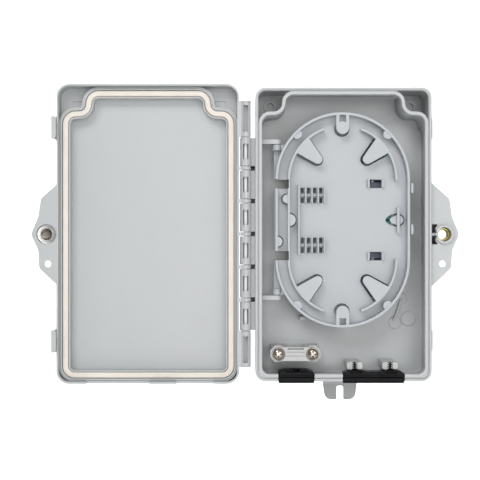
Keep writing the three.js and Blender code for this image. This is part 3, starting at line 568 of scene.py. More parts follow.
def lock_socket():
    x = LOCK_X
    solid = [
        lock_lug(0, 1, -28.6, -31.6),
        block(59.4, 66.6, -9.5, -31.6, -8.4, 8.4, 1, 0.5),
        prism(circle(x, 0, 6.5, 48), -16.8, -34.4, 0.5, 0.5),
    ]
    windows = []
    for side in (-1, 1):
        corners = [(60.9, 0.95, 0.3), (64.2, 0.95, 0.3), (63.3, 4.2, 3), (65.6, 6.9, 0.5), (60.9, 6.9, 0.5)]
        fan = [(cx, side * z, r) for cx, z, r in corners]
        windows.append(pit(shape(fan, 5, side), -11, -31.6, 0.2, 0.15, 2))
    return solid, windows + [
        pit(circle(x, 0, 4.8, 48), -18, -34.4, 0.2, 0.4),
        pit(circle(x, 0, 3.5), -14, -20, 0.05, 0.05, 1),
        through(circle(LOCK_X - 1, -20.3, 2.3, 32), -28.6, -31.6, 0.25),
    ]


def tray_arms():
    """Two arms with the tray's pivot eyes at their ends, and two posts at the tray's free edge."""
    solid, cuts = [], []
    x, y = -45.5, -22.5
    for z in (64.3, -44):
        solid.append(block(-59, x, y + 3.2, y - 3.2, z - 1.7, z + 1.7, 0.4, 0.4))
        solid.append(rod(x, y, z - 1.7, z + 1.7, 3.2, 0.4))
        cuts.append(rod(x, y, z - 3, z + 3, 1.8, 0.05, 24))
    for z in (32, 3.4):
        solid.append(block(47.1, 49.3, -2, -27.5, z - 3.6, z + 3.6, 0.4, 0.7))
        solid.append(block(49, 50.4, -2, -19, z - 2.2, z + 2.2, 0.4, 0.6))
    return solid, cuts


def clamp_posts():
    solid, cuts = [], []
    for x in CLAMP_X:
        solid.append(prism(circle(x, CLAMP_Z, 5.2, 48), -2, -26.5, 0.1, 0.5))
        cuts += [
            pit(circle(x, CLAMP_Z, 3.4), -17, -26.5, 0.1, 0.2),
            pit(circle(x, CLAMP_Z, 2.3, 32), -12, -20, 0.1, 0.05),
        ]
        for turn in range(4):
            angle = pi / 4 + turn * pi / 2
            dx, dz = 6.2 * cos(angle), 6.2 * sin(angle)
            solid.append(rib_between(x, CLAMP_Z, x + dx, CLAMP_Z + dz, 1, -2, -15))
    middle = sum(CLAMP_X) / 2
    solid.append(block(CLAMP_X[0] + 6, CLAMP_X[1] - 6, -2, -19.5, CLAMP_Z - 4, CLAMP_Z + 4, 0.5, 0.4))
    cuts.append(rod(middle, -27, CLAMP_Z - 6, CLAMP_Z + 6, 6.5, 0.1))
    for x in DROP_CLAMP_X:
        solid.append(slab(x, 5, -2, -24.5, DROP_CLAMP_Z, 2.2, 0.6, 0.4))
    return solid, cuts


def rib_between(x0, z0, x1, z1, width, foot, top):
    """A straight rib on the floor between two points."""
    along = Vector((x1 - x0, z1 - z0)).normalized() * (width / 2)
    across = Vector((-along.y, along.x))
    start, end = Vector((x0, z0)) - along, Vector((x1, z1)) + along
    corners = [start + across, start - across, end - across, end + across]
    return prism(shape([(c.x, c.y, width * 0.4) for c in corners], 4), foot, top, 0.05, 0.35)


def floor_fittings():
    """The cable-tie hook, the curved stop, the three-lobed boss and the rings that ejector pins leave."""
    solid = [
        block(-29, -26, -2, -14, -60.5, -57.5, 0.4, 0.4),
        block(-29, -24.5, -11.5, -14, -60.5, -57.5, 0.4, 0.4),
        prism(shape([(37, -61.6, 0.6), (38.8, -61, 0.6), (42.6, -53.5, 9), (44.2, -46.2, 0.6),
                     (42.6, -45.4, 0.6), (40.3, -53.6, 9)], 6), -2, -5, 0.05, 0.5),
    ]
    for x, z, r in ((39, -62.5, 4.4), (48.6, -59.8, 5.2), (43.5, -45.8, 4.2)):
        solid.append(prism(circle(x, z, r), -2, -3.2, 0.05, 0.35))
    rings = [(-14, 86, 5.2), (-36, -66, 5), (20, -84, 5), (28, -66, 5), (-48, 10, 5)]
    cuts = [ring(x, z, [(r, -2.2), (r, -3), (r + 0.35, -3), (r + 0.35, -2.2)]) for x, z, r in rings]
    return solid, cuts


def make_base_shell():
    solid, cuts = base_pan()
    solid.append(wall_ear())
    cuts += [corner_pocket(side) for side in (-1, 1)]
    fitted, fitted_cuts = [], []
    for made, holes in (base_hinge(), lock_socket(), tray_arms(), clamp_posts(), floor_fittings()):
        fitted += made
        fitted_cuts += holes
    for side in (-1, 1):
        fitted.append(block(60, 61.9, -29, -31.5, side * 73 - 7, side * 73 + 7))
        fitted.append(prism(circle(side * POCKET[0], POCKET[1], 4.8), -2.5, -4.2, 0.05, 0.3))
    for z in PANEL_SCREWS:
        fitted.append(prism(circle(PANEL_X, z, 3.6, 32), -2, -6, 0.05, 0.3))
        fitted_cuts.append(pit(circle(PANEL_X, z, 1.55, 24), -2.4, -6, 0.05, 0.2))
    for side in (-1, 1):
        fitted_cuts.append(pit(circle(side * POCKET[0], POCKET[1], 2.6, 32), -1.2, -4.2, 0.1, 0.2))
    for (x0, x1), depth in ((FEEDER_X, FEEDER[1].y), (DROP_X, DROP[1].y)):
        entry = rectangle(x0 - ENTRY_GAP, x1 + ENTRY_GAP, -104, -94, 0.5, 3)
        fitted_cuts.append(pit(entry, depth + ENTRY_GAP, BASE.ridge, 0.4, 0.15, 2))
    finish(carve("base_shell_looks", solid, cuts, fitted, fitted_cuts), "base", SHELL_PLASTIC, "base_shell")


# ---- cover

def cover_pan():
    """The shallow lid with its lock lug, less its hollow."""
    outer = centred(COVER_X, LID.z, LID.w, LID.h, LID.r, 10)
    inner = centred(COVER_X, LID.z, LID.w - 3, LID.h - 3, LID.r - 1.5, 10)
    solid = [
        prism(outer, LID.back, LID.rim, 1.8, 0.45, 5),
        lock_lug(COVER_X, -1, -33, LID.rim),
        prism(circle(CUP_X, 0, 8.5, 56), -22, -35, 1.2, 0.2, 4),
    ]
    return solid, [pit(inner, LID.floor, LID.rim, 0.9, 0.4, 4)]


def cover_lips():
    """The two thin lips that hold the gasket, on the raised bed between them."""
    path = seal(0, COVER_X)
    foot, top, bed = LID.floor + 0.8, LIPS.front, LIPS.floor
    inner, outer = LIPS.inner, LIPS.outer
    return [
        track(path, wall_section(-outer, -inner, foot, top, 0.32)),
        track(path, wall_section(inner, outer, foot, top, 0.32)),
        track(path, [(-inner - 0.5, foot), (-inner - 0.5, bed), (inner + 0.5, bed), (inner + 0.5, foot)]),
        track(path, wall_section(outer - 0.4, LIPS.ledge, foot, LIPS.ledge_front, 0.3)),
    ]


def cover_hinge():
    half = HINGE.length / 2
    solid, cuts = [], []
    for i in range(HINGE.count - 1):
        z = gap_z(i)
        solid.append(rod(HINGE_X, HINGE_Y, z - 1.25, z + 1.25, HINGE.r, 0.25))
        solid.append(block(-73, HINGE_X, -32.4, LID.rim, z - 1.25, z + 1.25, 0.2, 0.25))
    last = knuckle_z(HINGE.count - 1) + half + 0.3
    first = knuckle_z(0) - half - 0.3
    for z0, z1 in ((last, last + 24.9), (first - 24.9, first)):
        solid.append(rod(HINGE_X, HINGE_Y, z0, z1, HINGE.r, 0.3))
        solid.append(block(-73, HINGE_X, -32.4, LID.rim, z0, z1))
        middle = (z0 + z1) / 2
        slot = centred(HINGE_X, middle, 3.3, 18.5, 0.7, 3)
        cuts.append(pit(slot, -32, -38.4, 0.2, 0.3, 2))
    cuts.append(rod(HINGE_X, HINGE_Y, first - 5, last + 5, HINGE.pin + 0.3, 0.1, 20))
    return solid, cuts


def cover_lock_cuts():
    x = CUP_X
    return [
        pit(circle(x, 0, 6.7, 56), -33, LID.rim, 0.3, 0.5),
        through(circle(x, 0, 3.4), -22, -33, 0.15),
        turned(x, 0, [(0, -30.5), (6.3, -30.5), (6.3, -22.4), (6.7, -22), (6.7, -20), (0, -20)], 56),
        through(circle(CUP_X + 1, -20.3, 2.3, 32), -33, LID.rim, 0.25),
    ]


def cover_hooks():
    edge = COVER_X - LID.w / 2
    solid = []
    for side in (-1, 1):
        low, high = side * 73 - 7.75, side * 73 + 7.75
        solid += [
            block(edge - 2.8, edge + 0.8, -26.5, -33, low, high, 0.4, 0.4),
            block(edge - 2.8, edge - 0.3, -32.5, -41.5, low, high, 0.4, 0.5),
            block(edge - 2.8, edge + 0.6, -39.5, -41.5, low + 1, high - 1, 0.4, 0.5),
        ]
        for z in (low + 4.6, high - 4.6):
            solid.append(block(edge - 0.6, edge + 0.65, -33, -38.5, z - 0.6, z + 0.6, 0.2, 0.3))
    return solid


def cover_marks():
    """Shallow recesses in the top corners, entry notches in the lower skirt, and ejector rings."""
    cuts = []
    for side in (-1, 1):
        x = COVER_X + side * POCKET[0]
        cuts.append(hole(x - 3.8, x + 3.8, LID.floor + 0.8, LID.floor, 87.6, 92.6, 0.5, 0.1, 0.15))
    for x0, x1 in (FEEDER_X, DROP_X):
        low, high = COVER_X - x1 - 0.6, COVER_X - x0 + 0.6
        cuts.append(hole(low, high, -31.4, LID.rim, -104, -100.9, 0.3, 0.1, 0.2))
    floor = LID.floor
    for dx, z, r in ((-36, 60, 3.6), (36, 60, 3.6), (-36, -60, 3.6), (36, -60, 3.6), (0, 0, 3.6)):
        section = [(r, floor + 0.16), (r, floor - 0.6), (r + 0.3, floor - 0.6), (r + 0.3, floor + 0.16)]
        cuts.append(ring(COVER_X + dx, z, section))
    return cuts


def make_cover_shell():
    hinge, hinge_cuts = cover_hinge()
    fitted, fitted_cuts = cover_lips() + hinge + cover_hooks(), hinge_cuts + cover_lock_cuts() + cover_marks()
    shell = carve("cover_shell_looks", *cover_pan(), fitted, fitted_cuts)
    finish(shell, "cover", SHELL_PLASTIC, "cover_shell")


def make_gasket():
    back, front = GASKET[1].y, GASKET[0].y
    section = wall_section(-2, 2, back, front, 0.9, 5)
    gasket = smooth(to_object(track(seal(0, COVER_X), section), "gasket_looks"), 60)
    finish(gasket, "cover", FOAM, "cover_gasket")


# ---- hinge pin and lock

def make_hinge_pin():
    pin = rod(HINGE_X, HINGE_Y, PIN[0].z, PIN[1].z, HINGE.pin, 0.4)
    finish(smooth(to_object(pin, "hinge_pin_looks")), "base", PIN_PLASTIC, "hinge_pin")


def thread(radius, depth, y0, y1, pitch=1):
    """(radius, depth) points of a threaded side, as a row of rings from y0 to y1."""
    count = max(int(abs(y1 - y0) / pitch), 1)
    step = (y1 - y0) / count
    points = []
    for k in range(count):
        y = y0 + k * step
        points += [(radius - depth, y + 0.1 * step), (radius, y + 0.45 * step), (radius, y + 0.6 * step)]
    return points + [(radius - depth, y1)]


def make_lock_insert():
    back, front = INSERT[1].y, INSERT[0].y
    inner = [(3.7, front)] + [(3.3 + 3.6 - r, y) for r, y in thread(3.6, 0.3, front + 0.4, back - 0.4)]
    section = inner + [(3.6, back), (4.2, back), (4.5, back - 0.3), (4.5, front + 0.3), (4.2, front)]
    finish_ring("lock_insert_looks", LOCK_X, 0, section, 56, "base", BRASS, "lock_insert")


def make_lock_bolt():
    tip, end = BOLT[0].y, BOLT[1].y
    profile = [(0, tip), (1.8, tip), (2.4, tip + 0.5)] + thread(3, 0.32, tip + 0.9, tip + 9.9)
    profile += [(3, tip + 10.2), (3, -24.5), (3.2, -24.3), (5.5, -24.3), (5.8, -24), (5.8, end - 0.8)]
    profile += [(5.5, end - 0.35), (5, end), (0, end)]
    corners = [(CUP_X + 3.2 * cos(a), 3.2 * sin(a), 0.5) for a in (0, 2.0944, 4.18879)]
    socket = prism(shape(corners), end + 1, end - 3.6, 0.05, 0.05)
    bolt = smooth(carve("lock_bolt_looks", [turned(CUP_X, 0, profile, 56)], [socket]), 25)
    finish(bolt, "bolt", STEEL, "lock_bolt")


def make_retainer():
    back, front = RETAINER[1].y, RETAINER[0].y
    section = [(3.35, front + 0.2), (3.35, back - 0.1), (3.85, back), (3.95, back - 0.2), (3.95, front + 0.3),
               (3.75, front), (3.5, front)]
    finish_ring("bolt_retainer_looks", CUP_X, 0, section, 56, "retainer", STEEL, "bolt_retainer")


# ---- splice tray

TRAY = Sizes(z=10, half=27.9, outer=46.7, inner=38.1, back=-18.5, floor=-20.1, front=-29)
TABS = -27.4
COMB_X = (-29.7, 4.3, 4)
TRAY_GAPS = (35, -14.8)
LEAF_HOLE = ((29.3, 0, 2.2), (33.4, 3.4, 6), (39.4, 5, 1), (42.8, 2.8, 4), (44.3, 0, 3))
LEAF_TONGUE = ((31.9, 0, 2), (34.6, 2.1, 4), (39.4, 4, 1), (41.9, 2.2, 4), (43.2, 0, 2.5))
# Each half-moon tab: x, z, radius, the side of its wall that it stands on, its root and its hole's root.
MOONS = (
    (-38.6, 24.5, 3, -1, -37.5, -38.5),
    (-45, -5, 3.4, 1, -45.5, -44.3),
    (-36.6, 10, 4.2, 1, -37, -36),
)


def racetrack(radius):
    """A stadium outline round the tray's middle."""
    turn = angles(pi, 26)

    def points(offset):
        reach = radius + offset
        return around(0, TRAY.z + TRAY.half, reach, turn) + around(0, TRAY.z - TRAY.half, -reach, turn)
    return points


def stroke(path, half, caps=5):
    """The outline of a wall of some half thickness along a path, with round ends."""
    spots = [Vector(p) for p in path]
    turn = angles(pi, caps)[1:-1]

    def points(offset):
        reach = half + offset
        sides = []
        for i, spot in enumerate(spots):
            along = (spots[min(i + 1, len(spots) - 1)] - spots[max(i - 1, 0)]).normalized()
            sides.append((spot, along, Vector((-along.y, along.x))))
        right = [s - n * reach for s, _, n in sides]
        left = [s + n * reach for s, _, n in sides][::-1]
        end, start = sides[-1], sides[0]
        last = [end[0] + end[1] * (reach * sin(a)) - end[2] * (reach * cos(a)) for a in turn]
        first = [start[0] - start[1] * (reach * sin(a)) + start[2] * (reach * cos(a)) for a in turn]
        return [(p.x, p.y) for p in right + last + left + first]
    return points


def arc(centre_z, radius, start, end):
    """Points from one angle to another, in degrees, about the tray's middle line."""
    return around(0, centre_z, radius, [radians(degrees) for degrees in angles(end - start, 16, start)])


def inner_walls():
    top, low, r = TRAY.z + TRAY.half, TRAY.z - TRAY.half, TRAY.inner - 0.9
    left = arc(top, r, 111, 180) + arc(low, r, 180, 249)
    paths = [arc(top, r, 0, 69), arc(low, r, -69, 0), left]
    return [prism(stroke(path, 0.9), TRAY.floor + 0.5, TRAY.front, 0.02, 0.35) for path in paths]


def finger(side_x, side_z, grow):
    """A flat retaining finger over the tray's floor, or the larger hole beneath it."""
    reach = TRAY.inner - 0.9
    centre_z = TRAY.z + side_z * TRAY.half

    def root(degrees):
        a = radians(degrees)
        return side_x * reach * cos(a), centre_z + side_z * reach * sin(a), 0.2

    meet = (side_x * (6.4 - grow * 3.1), TRAY.z + side_z * (32.3 - grow * 2.8), 3.3 + grow)
    corners = [root(30 - grow * 1.4), root(51 + grow * 1.4), meet]
    return shape(corners, 9, side_x * side_z)


def combs():
    """Two blocks of fingers for splice sleeves, on one rib, with slots in the floor between them."""
    x0, pitch, columns = COMB_X
    foot = TRAY.floor + 0.5
    solid, slots = [block(x0 - 1.2, x0 + 0.2, foot, -27, -14.3, 34.3, 0.3, 0.35)], []
    for z in (27.2, -7.6):
        for i in range(columns + 1):
            x = x0 + i * pitch
            solid.append(slab(x, 0.55, foot, -26, z, 5.6, 0.35, 0.3))
            if i < columns:
                solid.append(block(x - 0.2, x + pitch + 0.2, foot, -22.4, z - 0.7, z + 0.7, 0.1, 0.25))
                for z0, z1 in ((z + 1.5, z + 5.3), (z - 5.3, z - 1.5)):
                    slot = rectangle(x + 1.1, x + 3.2, z0, z1, 0.3, 3)
                    slots.append(through(slot, TRAY.back, TRAY.floor, 0.15))
    return solid, slots


def half_disc(x, z, radius, side, wall_x):
    """The part of a disc on one side of a wall, as an outline."""
    reach = acos(max(-1, min(1, side * (wall_x - x) / radius)))
    turn = angles(2 * reach, 20, -reach)
    centre = Vector((wall_x + side * radius * 0.4, z))

    def points(offset):
        spots = [Vector(spot) for spot in around(x, z, side * radius, turn)]
        grown = [spot + (spot - centre).normalized() * offset for spot in spots]
        return [(spot.x, spot.y) for spot in grown]
    return points


def tray_tabs():
    """Half-moon tabs that keep the fibre down: four across the rim, three beside the left walls."""
    solid = []
    for degrees in (45, 135, 225, 315):
        a = radians(degrees)
        reach = TRAY.outer - 2.4
        centre_z = TRAY.z + copysign(TRAY.half, sin(a))
        x, z = reach * cos(a), centre_z + reach * sin(a)
        solid.append(prism(circle(x, z, 3.3, 32), -27, -28.4, 0.3, 0.35))
    for x, z, radius, side, wall_x, _ in MOONS:
        solid.append(prism(half_disc(x, z, radius, side, wall_x), -27, -28.4, 0.25, 0.3))
    return solid


def end_bridges():
    solid = []
    for side in (-1, 1):
        wall = TRAY.z + side * (TRAY.half + TRAY.outer - 1)
        for x0, x1, start, end in ((-4.6, -2.2, 0, 8), (2.2, 4.6, 0, 8), (-4.5, 4.5, 6.6, 9.8)):
            solid.append(block(x0, x1, TABS, TRAY.front, *span(wall, -side, start, end)))
        solid.append(prism(circle(0, wall - side * 9.8, 4.5, 36), TABS, TRAY.front, 0.3, 0.35))
    return solid


def leaf(upper):
    """A leaf with its point to the left, from its upper edge as (x, rise, corner radius), left to right."""
    lower = [(x, TRAY.z - rise, r) for x, rise, r in upper[1:-1]]
    return shape(lower + [(x, TRAY.z + rise, r) for x, rise, r in reversed(upper)], 6)


def tray_floor_cuts():
    back, floor = TRAY.back, TRAY.floor
    holes = [rectangle(19.6, 27.5, z - 2.95, z + 2.95, 0.5) for z in (35.3, -15.2)]
    holes += [finger(x, z, 1.1) for x in (-1, 1) for z in (-1, 1)]
    holes.append(leaf(LEAF_HOLE))
    holes += [circle(0, TRAY.z + side * (TRAY.half + 35.6), 5.3) for side in (-1, 1)]
    holes += [half_disc(x, z, radius + 0.9, side, hole_x) for x, z, radius, side, _, hole_x in MOONS]
    return [through(points, back, floor, 0.2) for points in holes]


def tray_ribs():
    foot = TRAY.floor + 0.5
    solid = []
    for z in (35.3, -15.2):
        for x in (18.5, 28.4):
            solid.append(slab(x, 0.8, foot, -23.5, z, 2.9, 0.4, 0.4))
    solid.append(block(37.9, 39.9, foot, -25.5, TRAY.z - 9, TRAY.z + 9, 0.4, 0.4))
    return solid


def tray_pivots():
    x, y, t = -45.5, -22.5, 2
    top, low = 64.3 - t, -44 + t
    solid = []
    for z, inward in ((top, -1), (low, 1)):
        eye = span(z, inward, 0, 4)
        solid += [rod(x, y, *eye, 3, 0.3), block(-47.3, -40, TRAY.back, y, *eye, 0.3, 0.2)]
        solid.append(rod(x, y, *span(z, inward, 1, 0.4 - 2 * t), 1.5, 0.2, 24))
    return solid


def make_splice_tray():
    comb_solid, comb_cuts = combs()
    body = [prism(racetrack(TRAY.outer), TRAY.back, TRAY.front, 0.3, 0.4)]
    body.append(block(-47.3, -37.5, TRAY.back, TRAY.floor, -42, 62.3, 0.3, 0.15))
    cavity = [pit(racetrack(TRAY.outer - 2), TRAY.floor, TRAY.front, 0.6, 0.35, 4)]
    inside = inner_walls() + tray_tabs() + end_bridges() + comb_solid + tray_ribs()
    inside += [prism(finger(x, z, 0), TABS, TRAY.front, 0.3, 0.35) for x in (-1, 1) for z in (-1, 1)]
    left = -TRAY.outer - 1
    gaps = [rectangle(left, left + 10.4, z - 3.15, z + 3.15, 0.6) for z in TRAY_GAPS]
    outside = [track(racetrack(TRAY.outer + 0.01), [(0, -19.2), (0, -32), (9, -32), (9, -19.2)])]
    cuts = tray_floor_cuts() + comb_cuts + [pit(gap, -16, TRAY.front, 0.05, 0.3) for gap in gaps] + outside
    over = tray_pivots() + [prism(leaf(LEAF_TONGUE), -21, -22.6, 0.35, 0.45)]
    finish(carve("splice_tray_looks", body, cavity, inside, cuts, over), "tray", TRAY_PLASTIC, "splice_tray")


# ---- adapters

ADAPTER = Sizes(pitch=13.6, z=10, half_x=12.5, half_z=6.3, front=-15.1, back=-5.8, waist=5.4)


def adapter_z(i):
    return ADAPTER.z + (i - 3.5) * ADAPTER.pitch


def make_adapter(i):
    z = adapter_z(i)
    back, front = ADAPTER.back, ADAPTER.front
    middle = (back + front) / 2
    x0, x1 = PANEL_X - ADAPTER.half_x, PANEL_X + ADAPTER.half_x
    body = slab(PANEL_X, ADAPTER.half_x, back, front, z, ADAPTER.half_z, 0.5, 0.5)
    cuts = []
    for side in (-1, 1):
        edge = span(z, side, ADAPTER.waist, 9)
        cuts.append(block(PANEL_X - 1.3, PANEL_X + 1.3, 0, -20, *edge, 0.05, 0.05))
    for a, b in ((x0 - 1, x0 + 8), (x1 - 8, x1 + 1)):
        cuts.append(block(a, b, middle + 3.3, middle - 3.3, z - 4.8, z + 4.8, 0.05, 0.3))
    cuts.append(slab(PANEL_X, 7, front + 0.45, front - 2, z, 4.8, 0.4, 0.1))
    finish(carve("adapter_looks_%d" % (i + 1), [body], cuts), "base", ADAPTER_TEAL, "sc_adapter_%d" % (i + 1))


def make_dust_cap(i, side, name):
    z = adapter_z(i)
    face = PANEL_X + side * ADAPTER.half_x
    middle = (ADAPTER.back + ADAPTER.front) / 2
    solid = [
        block(*span(face, side, 0.3, 2.6), middle + 3.8, middle - 3.8, z - 5.2, z + 5.2, 0.7, 0.7),
        block(*span(face, side, -5, 1), middle + 3, middle - 3, z - 4.5, z + 4.5),
    ]
    notch = block(*span(face, side, 1.1, 1.9), middle - 3.4, middle - 4.2, z - 4.4, z + 4.4, 0.2, 0.2)
    cap = carve("dust_cap_looks_%s_%d" % (name, i + 1), solid, [notch])
    finish(cap, "base", CAP_PLASTIC, "dust_cap_%s_%d" % (name, i + 1))


def make_adapter_panel():
    rail, back, front = -5.5, -2.7, -14.4
    post = (ADAPTER.pitch - 2 * ADAPTER.waist) / 2 - 0.3
    end = ADAPTER.z + 4 * ADAPTER.pitch + post + 0.2
    low = 2 * ADAPTER.z - end
    solid = [block(PANEL_X - 1, PANEL_X + 1, back, rail, low, end, 0.2, 0.2)]
    for i in range(9):
        z = adapter_z(i) - ADAPTER.pitch / 2
        solid.append(block(PANEL_X - 1, PANEL_X + 1, back - 0.3, front, z - post, z + post, 0.3, 0.4))
    spans = ((end - 1, PANEL_SCREWS[0] + 4), (PANEL_SCREWS[1] - 4, low + 1))
    solid += [block(PANEL_X - 4.5, PANEL_X + 4.5, -6.3, -8.3, z0, z1, 1.2, 0.3) for z0, z1 in spans]
    cuts = [through(circle(PANEL_X, z, 1.55, 24), -6.3, -8.3, 0.2) for z in PANEL_SCREWS]
    cuts += [prism(circle(PANEL_X, z, 3.9, 32), 0, -6.3, 0.05, 0.05) for z in PANEL_SCREWS]
    finish(carve("adapter_panel_looks", solid, cuts), "base", TRAY_PLASTIC, "adapter_panel")


# ---- screws

# Each screw: (radius, depth) down its head and neck, then its thread's radius, depth, start, spare end,
# pitch and tip, and its cross recess's reach, width and depth.
CLAMP_SCREW = (
    [(0, 0), (1.6, 0), (2.5, 0.15), (3.2, 0.6), (3.65, 1.25), (3.8, 1.9), (3.75, 2.45), (3.6, 2.6),
     (2, 2.6), (1.9, 2.8)],
    (1.9, 0.28, 4.6, 0.8, 0.8, 1.2), (2.4, 0.55, 2),
)
PANEL_SCREW = (
    [(0, 0), (1.2, 0), (2.1, 0.3), (2.7, 1), (2.8, 1.5), (2.6, 1.8), (1.25, 1.8), (1.2, 2.1)],
    (1.25, 0.2, 2.4, 0.6, 0.7, 0.6), (1.5, 0.32, 1.1),
)


def cross_recess(x, z, front, reach, width, depth):
    """A tapering cross, as a cutter for a Phillips recess."""
    def cross(grow):
        r, w = reach * grow, width * (0.6 + 0.4 * grow)
        arm = [(r, -w), (r, w), (w, w)]
        corners = []
        for _ in range(4):
            corners += [(x + a, z + b) for a, b in arm]
            arm = [(-b, a) for a, b in arm]
        return corners

    return stack(cross, [(0.45, front + depth), (1, front), (1, front - 1)])


def make_screw(node, x, z, body, head, core, recess, steps=48):
    """A pan-head screw from its head, its core and its cross recess."""
    low, high = box_mm(node)
    front, end = low.y, high.y
    profile = [(r, front + y) for r, y in head]
    radius, depth, start, spare, pitch, tip = core
    profile += thread(radius, depth, front + start, end - spare, pitch) + [(tip, end), (0, end)]
    name = node.replace("screw_", "screw_looks_")
    screw = carve(name, [turned(x, z, profile, steps)], [cross_recess(x, z, front, *recess)])
    finish(smooth(screw, 30), body, STEEL, node)


def make_clamp_rings(name, x):
    """The washer under a clamp screw's head, and the brass insert that the screw holds in."""
    low, high = box_mm("clamp_washer_" + name)
    back, front = high.y, low.y
    section = [(2.2, front + 0.1), (2.2, back - 0.1), (2.4, back), (4.1, back), (4.3, back - 0.15),
               (4.3, front + 0.25), (4.05, front), (2.4, front)]
    washer = "clamp_washer_looks_" + name
    finish_ring(washer, x, CLAMP_Z, section, 48, "cable_clamp", STEEL, "clamp_washer_" + name)
    low, high = box_mm("clamp_insert_" + name)
    back, front = high.y, low.y
    section = [(2.2, front + 0.2), (2.2, back), (2.9, back), (3.1, back - 0.3), (3.1, front + 0.3)]
    section += [(2.9, front), (2.4, front)]
    finish_ring("clamp_insert_looks_" + name, x, CLAMP_Z, section, 40, "base", BRASS, "clamp_insert_" + name)


# ---- glands and clamps

GLAND = Sizes(outer=-102.2, bar=-97.8, ridge=-96.6, wall=-96, inner=-93.3)


def gland_bar(box):
    """The round bar along a gland's foot, outside the wall."""
    middle, high = (GLAND.outer + GLAND.bar) / 2, (GLAND.bar - GLAND.outer) / 2
    x0, x1, front, back = box[0].x, box[1].x, box[0].y, box[1].y
    side = [(middle + high * cos(a), front + 1.5 - 1.5 * sin(a)) for a in angles(pi, 14)]
    section = [(middle + high, back)] + side + [(middle - high, back)]
    centre_y = (front + back) / 2
    rings = []
    for x, inset in bar_rows(x0, x1, 0.4):
        thin, low = 1 - inset / (back - front) * 2, 1 - inset / high
        rings.append([(x, centre_y + (y - centre_y) * thin, middle + (z - middle) * low) for z, y in section])
    return loft(rings)


def gland_crown(box, crown):
    """The part inside the wall: a ridge beside the bar's groove, and a crown that slopes back."""
    x0, x1 = box[0].x, box[1].x
    low = GLAND.ridge - 1.6
    corners = [(x0, low, 0.4), (x1, low, 0.4), (x1, GLAND.wall, 0.6)]
    corners += [(x1 - dx if far else x0 + dx, z, r) for dx, z, r, far in crown]
    corners.append((x0, GLAND.wall, 0.6))
    return prism(shape(corners), box[1].y, box[0].y, 0.4, 0.6, 4)


def groove(box):
    """The cut for the wall, between a gland's bar and its ridge."""
    low, high = box
    return hole(low.x - 1, high.x + 1, low.y + 0.9, low.y, GLAND.bar - 0.1, GLAND.ridge, 0.25, 0.3, 0.25)


def make_feeder_gland():
    x0, x1 = FEEDER_X
    x, y, front = (x0 + x1) / 2, -27, FEEDER[0].y
    crown = [(0.3, -94.6, 0.8, True), (4.9, GLAND.inner, 2, True), (5.1, GLAND.inner, 2, False),
             (0.2, -94.2, 0.8, False)]
    solid = [gland_bar(FEEDER), gland_crown(FEEDER, crown)]
    dish = pit(centred(x, GLAND.inner + 0.5, 15, 3.4, 1.6, 8), front + 2.2, front, 1.2, 0.5, 4)
    cuts = [
        rod(x, y, GLAND.outer - 2, GLAND.inner + 3, 4.6, 0.1, 40),
        groove(FEEDER),
        dish,
        hole(x - 2.3, x + 2.3, y, front, -95, -86, 0.8, 0.2, 0.4),
    ]
    finish(carve("feeder_gland_looks", solid, cuts), "base", RUBBER, "feeder_gland")


def make_drop_gland():
    x0, x1, front = *DROP_X, DROP[0].y
    pitch = (x1 - x0) / 4
    inner = GLAND.inner
    crown = [(0.3, -95.2, 0.8, True), (4.2, inner, 3, True), (13.6, inner, 3, True)]
    crown += [(16.4, inner - 0.9, 3, True), (15.8, inner - 0.9, 3, False)]
    crown += [(13, inner, 3, False), (4.6, inner, 3, False), (0.3, -94.8, 0.8, False)]
    cuts = [groove(DROP)]
    for i in range(4):
        x = x0 + (i + 0.5) * pitch
        cuts.append(rod(x, -30, GLAND.outer - 3, inner + 2, 1.7, 0.1, 24))
    for middle in (x0 + 9, x1 - 9):
        slit = [(middle - 6.5, -94.9, 0.3), (middle, -95.3, 6), (middle + 6.5, -94.9, 0.3)]
        slit.append((middle, -93.9, 4))
        cuts.append(pit(shape(slit), front + 1.6, front, 0.3, 0.3))
    gland = carve("drop_gland_looks", [gland_bar(DROP), gland_crown(DROP, crown)], cuts)
    finish(gland, "base", RUBBER, "drop_gland")


def make_clamp_saddle():
    back, front = -26.8, -33.3
    seat = front + 2.4
    middle = sum(CLAMP_X) / 2
    solid = []
    for x in CLAMP_X:
        ear = [(*spot, 1.2) for spot in around(x, CLAMP_Z, 6.2, angles(2 * pi, 8, pi / 8)[:-1])]
        solid.append(prism(shape(ear, 5), back, seat + 0.6))
    solid.append(block(CLAMP_X[0], CLAMP_X[1], back, front, CLAMP_Z - 4.9, CLAMP_Z + 4.9, 0.5, 0.5))
    cuts = [rod(middle, -24.8, CLAMP_Z - 7, CLAMP_Z + 7, 6.4, 0.1, 48)]
    slot = rectangle(middle - 5.5, middle + 5.5, CLAMP_Z + 3.1, CLAMP_Z + 4.2, 0.3)
    cuts.append(through(slot, back, front, 0.15))
    for z in (CLAMP_Z + 1.3, CLAMP_Z - 1.4):
        cuts.append(hole(middle - 6.4, middle + 6.4, front + 0.6, front, z - 0.35, z + 0.35, 0.2, 0.15, 0.15))
    for x in CLAMP_X:
        cuts.append(pit(circle(x, CLAMP_Z, 4.6), seat, front, 0.05, 0.3))
        cuts.append(through(circle(x, CLAMP_Z, 2.2, 28), back, seat, 0.15))
    finish(carve("clamp_saddle_looks", solid, cuts), "cable_clamp", CLAMP_PLASTIC, "clamp_saddle")


